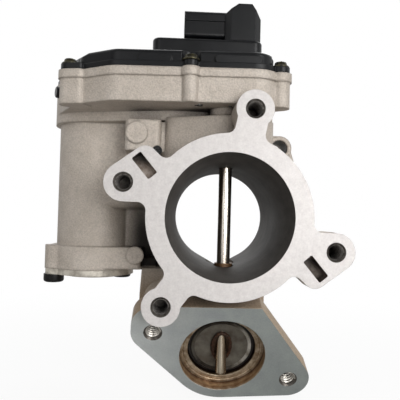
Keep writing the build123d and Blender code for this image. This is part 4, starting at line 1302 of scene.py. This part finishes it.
@dataclass
class Screws:
    """Screws with a six-lobed socket, with a flanged or a cheese head.

    Attributes:
        node: the CAD node whose screws they stand for, each in its own place.
        finish: their finish.
        slot: the record's material slot; not used.
        head_r: radius of the head.
        head_h: its height.
        seat_z: height of the face that the heads sit on.
        way: 1 for heads that face up, -1 for down.
        shank: length under the head.
        head: shape of the head.
        shank_r: radius of the shank.
        tip_r: radius of its blunt tip.
        tip_taper: length of the tip.
        socket: the socket's radii at its mouth, below its chamfer and at its floor, as shares of
            the head's, each with its depth and the waviness that makes its six lobes.
        socket_floor: depth of the socket's middle.
        corners: corners of a turn.
        seed: seed of the screws' turns.
    """

    node: str
    finish: Finish
    slot: str
    head_r: float
    head_h: float
    seat_z: float
    way: int
    shank: float
    head: Head = Head.FLANGED
    shank_r: float = 1.95
    tip_r: float = 1.5
    tip_taper: float = 0.5
    socket: tuple[Triple, ...] = ((0.5, 0.0, 0.12), (0.46, 0.2, 0.13), (0.44, 1.5, 0.13))
    socket_floor: float = 1.9
    corners: int = 36
    seed: int = 4

    def head_rows(self) -> list[tuple[float, float]]:
        """Radius and height of the head's outside, from its seat to its top edge."""
        r, h = self.head_r, self.head_h
        if self.head is Head.CHEESE:
            return [(r, 0.0), (r, h - 1.1), (r - 0.3, h - 0.4), (r - 1.0, h)]
        flange = [(r, 0.0), (r, 0.55), (r - 0.25, 0.85), (r - 1.0, 1.0)]
        return flange + [(r - 1.1, h - 0.9), (r - 1.35, h - 0.3), (r - 1.9, h)]

    def pattern_screw(self) -> Piece:
        """One screw, its seat at the origin and its head above."""
        rows = [
            (0.0, -self.shank),
            (self.tip_r, -self.shank),
            (self.shank_r, -self.shank + self.tip_taper),
            (self.shank_r, 0.0),
            *self.head_rows(),
        ]
        waves = [0.0] * len(rows) + [wave for _, _, wave in self.socket] + [0.0]
        rows += [(share * self.head_r, self.head_h - depth) for share, depth, _ in self.socket]
        rows.append((0.0, self.head_h - self.socket_floor))
        bm = turned(rows, self.corners, waves)
        return keep_piece(bm, "screw_pattern", [], NodeTree.crisp_degrees, recalc=True)

    def build(self) -> Piece:
        """Sets the screws in their places and takes the CAD screws' place."""
        pattern = self.pattern_screw()
        points = [
            Vector(((low.x + high.x) / 2, (low.y + high.y) / 2, self.seat_z * MM))
            for low, high in separate_boxes(self.node)
        ]
        piece = ScrewTree().run(
            self.node + "_detailed",
            points,
            [Vector((0, 0, self.way))] * len(points),
            {"Screw": pattern, "Seed": self.seed, "Finish": self.finish.material()},
        )
        bpy.data.objects.remove(pattern)
        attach(piece, "housing")
        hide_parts(self.node)
        return piece


@dataclass
class Actuator:
    """The gear cover with its connector, and everything that it hides."""

    screws: tuple[Screws, ...] = (
        Screws(
            "cover_screws",
            OLIVE_SCREW,
            "dark_screw_steel",
            head_r=4.0,
            head_h=2.8,
            seat_z=70.1,
            way=1,
            shank=16.0,
        ),
        Screws(
            "motor_cover_screws",
            BLACK_SCREW,
            "black_screw_steel",
            head_r=5.2,
            head_h=4.2,
            seat_z=-31.9,
            way=-1,
            shank=12.0,
            head=Head.CHEESE,
        ),
    )
    finishes: ClassVar[dict[Finish, tuple[str, ...]]] = {
        NYLON: ("gear_cover", "vent_plug"),
        NITRILE: ("cover_gasket", "motor_cover_oring", "shaft_seal"),
        BOARD: ("sensor_board",),
        BRASS: ("connector_terminals", "motor_pinion", "motor_contacts"),
        ACETAL: ("sector_gear", "compound_gear", "idler_gear", "motor_end_cap"),
        BEARING: (
            "compound_pinion",
            "compound_pin",
            "idler_pin",
            "stop_pins",
            "upper_shaft_bearing",
        ),
        SPRING_WIRE: ("return_spring", "motor_wave_spring"),
        ZINC: ("shaft_nut", "motor_can"),
        FERRITE: ("sensor_magnet", "motor_magnets"),
        GROUND: ("motor_shaft",),
        LAMINATED: ("motor_armature",),
        COVER_PLATE: ("motor_bottom_cover",),
        BLACK_SCREW: ("body_plug",),
    }

    def build(self) -> list[Piece]:
        """Dresses the cover, the gear train and the motor, and sets both covers' screws."""
        dressed = [dress(node, look) for look, nodes in self.finishes.items() for node in nodes]
        return [*dressed, *(group.build() for group in self.screws)]


@dataclass
class FlapValve:
    """The flap, its rod, the sleeve it closes and the bush that guides it.

    Attributes:
        steps: corners of a turn round the port.
        crisp_degrees: angle past which an edge stays crisp.
        weld_half: half the width and half the height of the weld's oval.
        weld_depth: depth of the bead's middle.
        bead_r: radius of the bead.
        ripples: ripples round the bead.
        ripple: height of a ripple, as a share of the bead's radius.
        weld_steps: slices round the bead and corners of a slice.
        flap_rows: radius, depth and the number of the finish that follows, from the flap's middle
        round its rim and back. Its finishes are the dish, the rim with its painted highlight, the
        weld and the edge painted dark as shade.
        sleeve_rows: radius and depth round the sleeve's section: its outside, its lip with a
            turned groove, its rounded mouth and its bore.
    """

    steps: int = 96
    crisp_degrees: float = 30.0
    weld_half: tuple[float, float] = (4.3, 7.7)
    weld_depth: float = 7.25
    bead_r: float = 0.85
    ripples: int = 18
    ripple: float = 0.12
    weld_steps: tuple[int, int] = (72, 8)
    flap_rows: tuple[tuple[float, float, int], ...] = (
        (0.0, 9.0, 0),
        (14.2, 9.0, 1),
        (15.3, 8.8, 1),
        (15.8, 8.35, 3),
        (15.83, 8.0, 3),
        (15.6, 7.8, 3),
        (14.8, 7.75, 3),
        (14.45, 7.4, 1),
        (14.15, 7.05, 1),
        (13.6, 7.05, 1),
        (12.7, 7.45, 0),
        (11.0, 7.75, 0),
        (6.0, 7.85, 0),
        (0.0, 7.85, 0),
    )
    sleeve_rows: tuple[tuple[float, float], ...] = (
        (17.8, 21.0),
        (17.8, 6.0),
        (19.95, 6.0),
        (19.95, 5.3),
        (18.75, 5.3),
        (18.6, 5.55),
        (18.2, 5.55),
        (18.05, 5.3),
        (16.6, 5.3),
        (16.2, 5.5),
        (16.0, 5.9),
        (16.0, 21.0),
    )

    def port_frame(self) -> Matrix:
        """The frame whose Z goes down the port from its mouth and whose Y goes up its face."""
        up = PORT_OUT.cross(SIDEWAYS)
        columns = Matrix((up.cross(PORT_IN), up, PORT_IN)).transposed().to_4x4()
        return Matrix.Translation(PORT_MOUTH * MM) @ columns

    def weld(self, bm: Solid, number: int) -> None:
        """Adds the oval weld bead round the rod, with the ripples of a stick weld.

        Args:
            bm: the flap, in the port's own frame.
            number: the finish of the bead.
        """
        around, across = self.weld_steps
        rings = []
        for i in range(around):
            turn = math.tau * i / around
            out = Vector((math.cos(turn), math.sin(turn), 0.0))
            middle = Vector((self.weld_half[0] * out.x, self.weld_half[1] * out.y, self.weld_depth))
            radius = self.bead_r * (1 + self.ripple * math.sin(self.ripples * turn))
            ring = []
            for j in range(across):
                angle = math.tau * j / across
                side = out * radius * math.cos(angle)
                rise = Vector((0.0, 0.0, radius * math.sin(angle)))
                ring.append(bm.verts.new((middle + side + rise) * MM))
            rings.append(ring)
        skin(bm, rings, [number] * around, loop=True)

    def flap(self) -> Piece:
        """The dished flap: a rim with a painted highlight, a sooty dish, an edge in painted shade
        and the weld round the rod.
        """
        # The rim carries a painted highlight and the edge painted shade.
        finishes = [FLAP, FLAP_RIM, WELD, EDGE_SHADE]
        bm = turned(self.flap_rows, self.steps)
        self.weld(bm, finishes.index(WELD))
        bm.transform(self.port_frame())
        piece = keep_piece(bm, "flap_dished", finishes, self.crisp_degrees, recalc=True)
        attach(piece, "flap")
        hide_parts("flap_disc")
        return piece

    def sleeve(self) -> Piece:
        """The sleeve: a lip with a turned groove and a rounded mouth, and its long dark bore."""
        bm = turned(self.sleeve_rows, self.steps, loop=True)
        bm.transform(self.port_frame())
        piece = keep_piece(bm, "port_sleeve_turned", [SLEEVE], self.crisp_degrees, recalc=True)
        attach(piece, "housing")
        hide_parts("port_sleeve")
        return piece

    def build(self) -> list[Piece]:
        """Dresses the rod and its bush and makes the flap and the sleeve."""
        dressed = [dress("flap_shaft", ROD), dress("lower_guide_bush", BRONZE)]
        return [*dressed, self.flap(), self.sleeve()]


@dataclass(frozen=True)
class Lamp:
    """A square soft light that faces the valve.

    Attributes:
        name: its name.
        place: where it hangs, in metres.
        side: its side, in metres.
        watts: its power.
    """

    name: str
    place: Triple
    side: float
    watts: float

    def hang(self) -> None:
        """Adds the light to the scene."""
        data = bpy.data.lights.new(self.name, "AREA")
        data.size = self.side
        data.energy = self.watts
        lamp = bpy.data.objects.new(self.name, data)
        bpy.context.scene.collection.objects.link(lamp)
        lamp.location = self.place
        lamp.rotation_euler = (-Vector(self.place)).to_track_quat("-Z", "Y").to_euler()


@dataclass
class Studio:
    """Pale floor, soft lights and the camera.

    Attributes:
        camera_mm: the camera's place.
        looks_along: the way it looks.
        roll_degrees: how far it leans.
        lens_mm: its focal length.
        sensor_mm: width of its sensor.
        clip_m: how near it sees.
        floor_hex: colour of the floor.
        floor_reach_m: half the floor's side.
        floor_gap_m: how far under the valve it lies.
        fade_m: how far from the valve the floor starts to pass to white, and where it has.
        fade_from: how white it is where that starts.
        ambient: strength of the light from all round.
        room_light: brightness that metal mirrors from the camera's side of the room.
        room_edges: how far to the front and to the back that side and the white one reach.
        lamps: the lights.
    """

    camera_mm: Triple = (-22.768, -212.0, 0.8826)
    looks_along: Triple = (0.045154, 0.998553, 0.029201)
    roll_degrees: float = 1.5243
    lens_mm: float = 45.0
    sensor_mm: float = 36.0
    clip_m: float = 0.01
    floor_hex: str = "#C9C8C6"
    floor_reach_m: float = 2.5
    floor_gap_m: float = 0.0004
    fade_m: tuple[float, float] = (0.12, 0.4)
    fade_from: float = 0.9
    ambient: float = 0.34
    room_light: float = 0.3
    room_edges: tuple[float, float] = (-0.5, 0.2)
    lamps: tuple[Lamp, ...] = (
        Lamp("key", (0.46, -0.78, 0.2), 0.5, 4.1),
        Lamp("low", (0.22, -0.82, -0.02), 0.3, 2.6),
        Lamp("left", (-0.45, -0.75, 0.2), 0.5, 1.0),
        Lamp("right", (0.85, -0.3, 0.2), 0.5, 0.3),
        Lamp("back", (0.1, 0.8, 0.7), 0.7, 4.0),
    )

    def camera(self) -> None:
        """Adds the camera at its place and makes it the scene's own."""
        data = bpy.data.cameras.new("view")
        data.lens = self.lens_mm
        data.sensor_width = self.sensor_mm
        data.clip_start = self.clip_m
        camera = bpy.data.objects.new("view", data)
        bpy.context.scene.collection.objects.link(camera)
        ahead = Vector(self.looks_along).normalized()
        level = ahead.cross(Vector((0, 0, 1))).normalized()
        upward = level.cross(ahead)
        turn = math.radians(self.roll_degrees)
        right = level * math.cos(turn) + upward * math.sin(turn)
        up = right.cross(ahead)
        columns = Matrix((right, up, -ahead)).transposed().to_4x4()
        camera.matrix_world = Matrix.Translation(Vector(self.camera_mm) * MM) @ columns
        bpy.context.scene.camera = camera

    def floor(self) -> None:
        """Adds the floor just under the valve, white to the camera and pale to everything else."""
        low = cad_box[0][2] - self.floor_gap_m
        reach = self.floor_reach_m
        corners = [(x * reach, y * reach, low) for x, y in ((-1, -1), (1, -1), (1, 1), (-1, 1))]
        mesh = bpy.data.meshes.new("floor")
        mesh.from_pydata(corners, [], [(0, 1, 2, 3)])
        piece = new_object("floor", mesh)
        material = bpy.data.materials.new("floor_paper")
        material.use_nodes = True
        tree = material.node_tree
        tree.nodes.clear()
        path = add_node(tree, "ShaderNodeLightPath")
        tone = add_node(
            tree,
            "ShaderNodeMix",
            {"A": linear(self.floor_hex), "B": WHITE},
            {"Factor": path.outputs["Is Camera Ray"]},
            data_type="RGBA",
        )
        paper = add_node(tree, "ShaderNodeBsdfDiffuse", links={"Color": tone})
        glow = add_node(tree, "ShaderNodeEmission", {"Color": WHITE, "Strength": 1.0})
        place = add_node(tree, "ShaderNodeTexCoord").outputs["Object"]
        away = add_node(tree, "ShaderNodeVectorMath", links={0: place}, operation="LENGTH")
        fade = add_node(
            tree,
            "ShaderNodeMapRange",
            {
                "From Min": self.fade_m[0],
                "From Max": self.fade_m[1],
                "To Min": self.fade_from,
                "To Max": 1.0,
            },
            {"Value": away},
            interpolation_type="SMOOTHSTEP",
        )
        seen = add_node(
            tree,
            "ShaderNodeMath",
            links={0: path.outputs["Is Camera Ray"], 1: fade},
            operation="MULTIPLY",
        )
        mix = add_node(tree, "ShaderNodeMixShader", links={0: seen, 1: paper, 2: glow})
        add_node(tree, "ShaderNodeOutputMaterial", links={"Surface": mix})
        mesh.materials.append(material)

    def world(self) -> None:
        """White to the camera, darker on its own side in what metal mirrors, dim as a light."""
        world = bpy.data.worlds.new("studio")
        bpy.context.scene.world = world
        world.use_nodes = True
        tree = world.node_tree
        tree.nodes.clear()
        light, white = (
            add_node(tree, "ShaderNodeBackground", {"Color": WHITE, "Strength": strength})
            for strength in (self.ambient, 1.0)
        )
        way = add_node(tree, "ShaderNodeTexCoord").outputs["Generated"]
        axes = add_node(tree, "ShaderNodeSeparateXYZ", links={"Vector": way})
        room = add_node(
            tree,
            "ShaderNodeMapRange",
            {
                "From Min": self.room_edges[0],
                "From Max": self.room_edges[1],
                "To Min": self.room_light,
                "To Max": 1.0,
            },
            {"Value": axes.outputs["Y"]},
            interpolation_type="SMOOTHSTEP",
        )
        mirrored = add_node(tree, "ShaderNodeBackground", {"Color": WHITE}, {"Strength": room})
        path = add_node(tree, "ShaderNodeLightPath")
        seen = add_node(
            tree,
            "ShaderNodeMath",
            links={0: path.outputs["Is Camera Ray"], 1: path.outputs["Is Transmission Ray"]},
            operation="MAXIMUM",
        )
        unseen = add_node(
            tree,
            "ShaderNodeMixShader",
            links={0: path.outputs["Is Glossy Ray"], 1: light, 2: mirrored},
        )
        mix = add_node(tree, "ShaderNodeMixShader", links={0: seen, 1: unseen, 2: white})
        add_node(tree, "ShaderNodeOutputWorld", links={"Surface": mix})

    def build(self) -> None:
        """Sets up the whole studio."""
        bpy.context.scene.view_settings.view_transform = "Standard"
        self.camera()
        self.floor()
        self.world()
        for lamp in self.lamps:
            lamp.hang()


def main() -> None:
    """Builds every sub-assembly in order and reports each piece."""
    logging.basicConfig(level=logging.INFO, format="%(message)s")
    Studio().build()
    log.info("studio")
    housing = Housing()
    for piece in (housing.build(), *housing.threads(), housing.bridge()):
        log.info("%s", piece.name)
    for assembly in (FlapValve(), Actuator()):
        for piece in assembly.build():
            log.info("%s", piece.name)


if __name__ == "__main__":
    main()
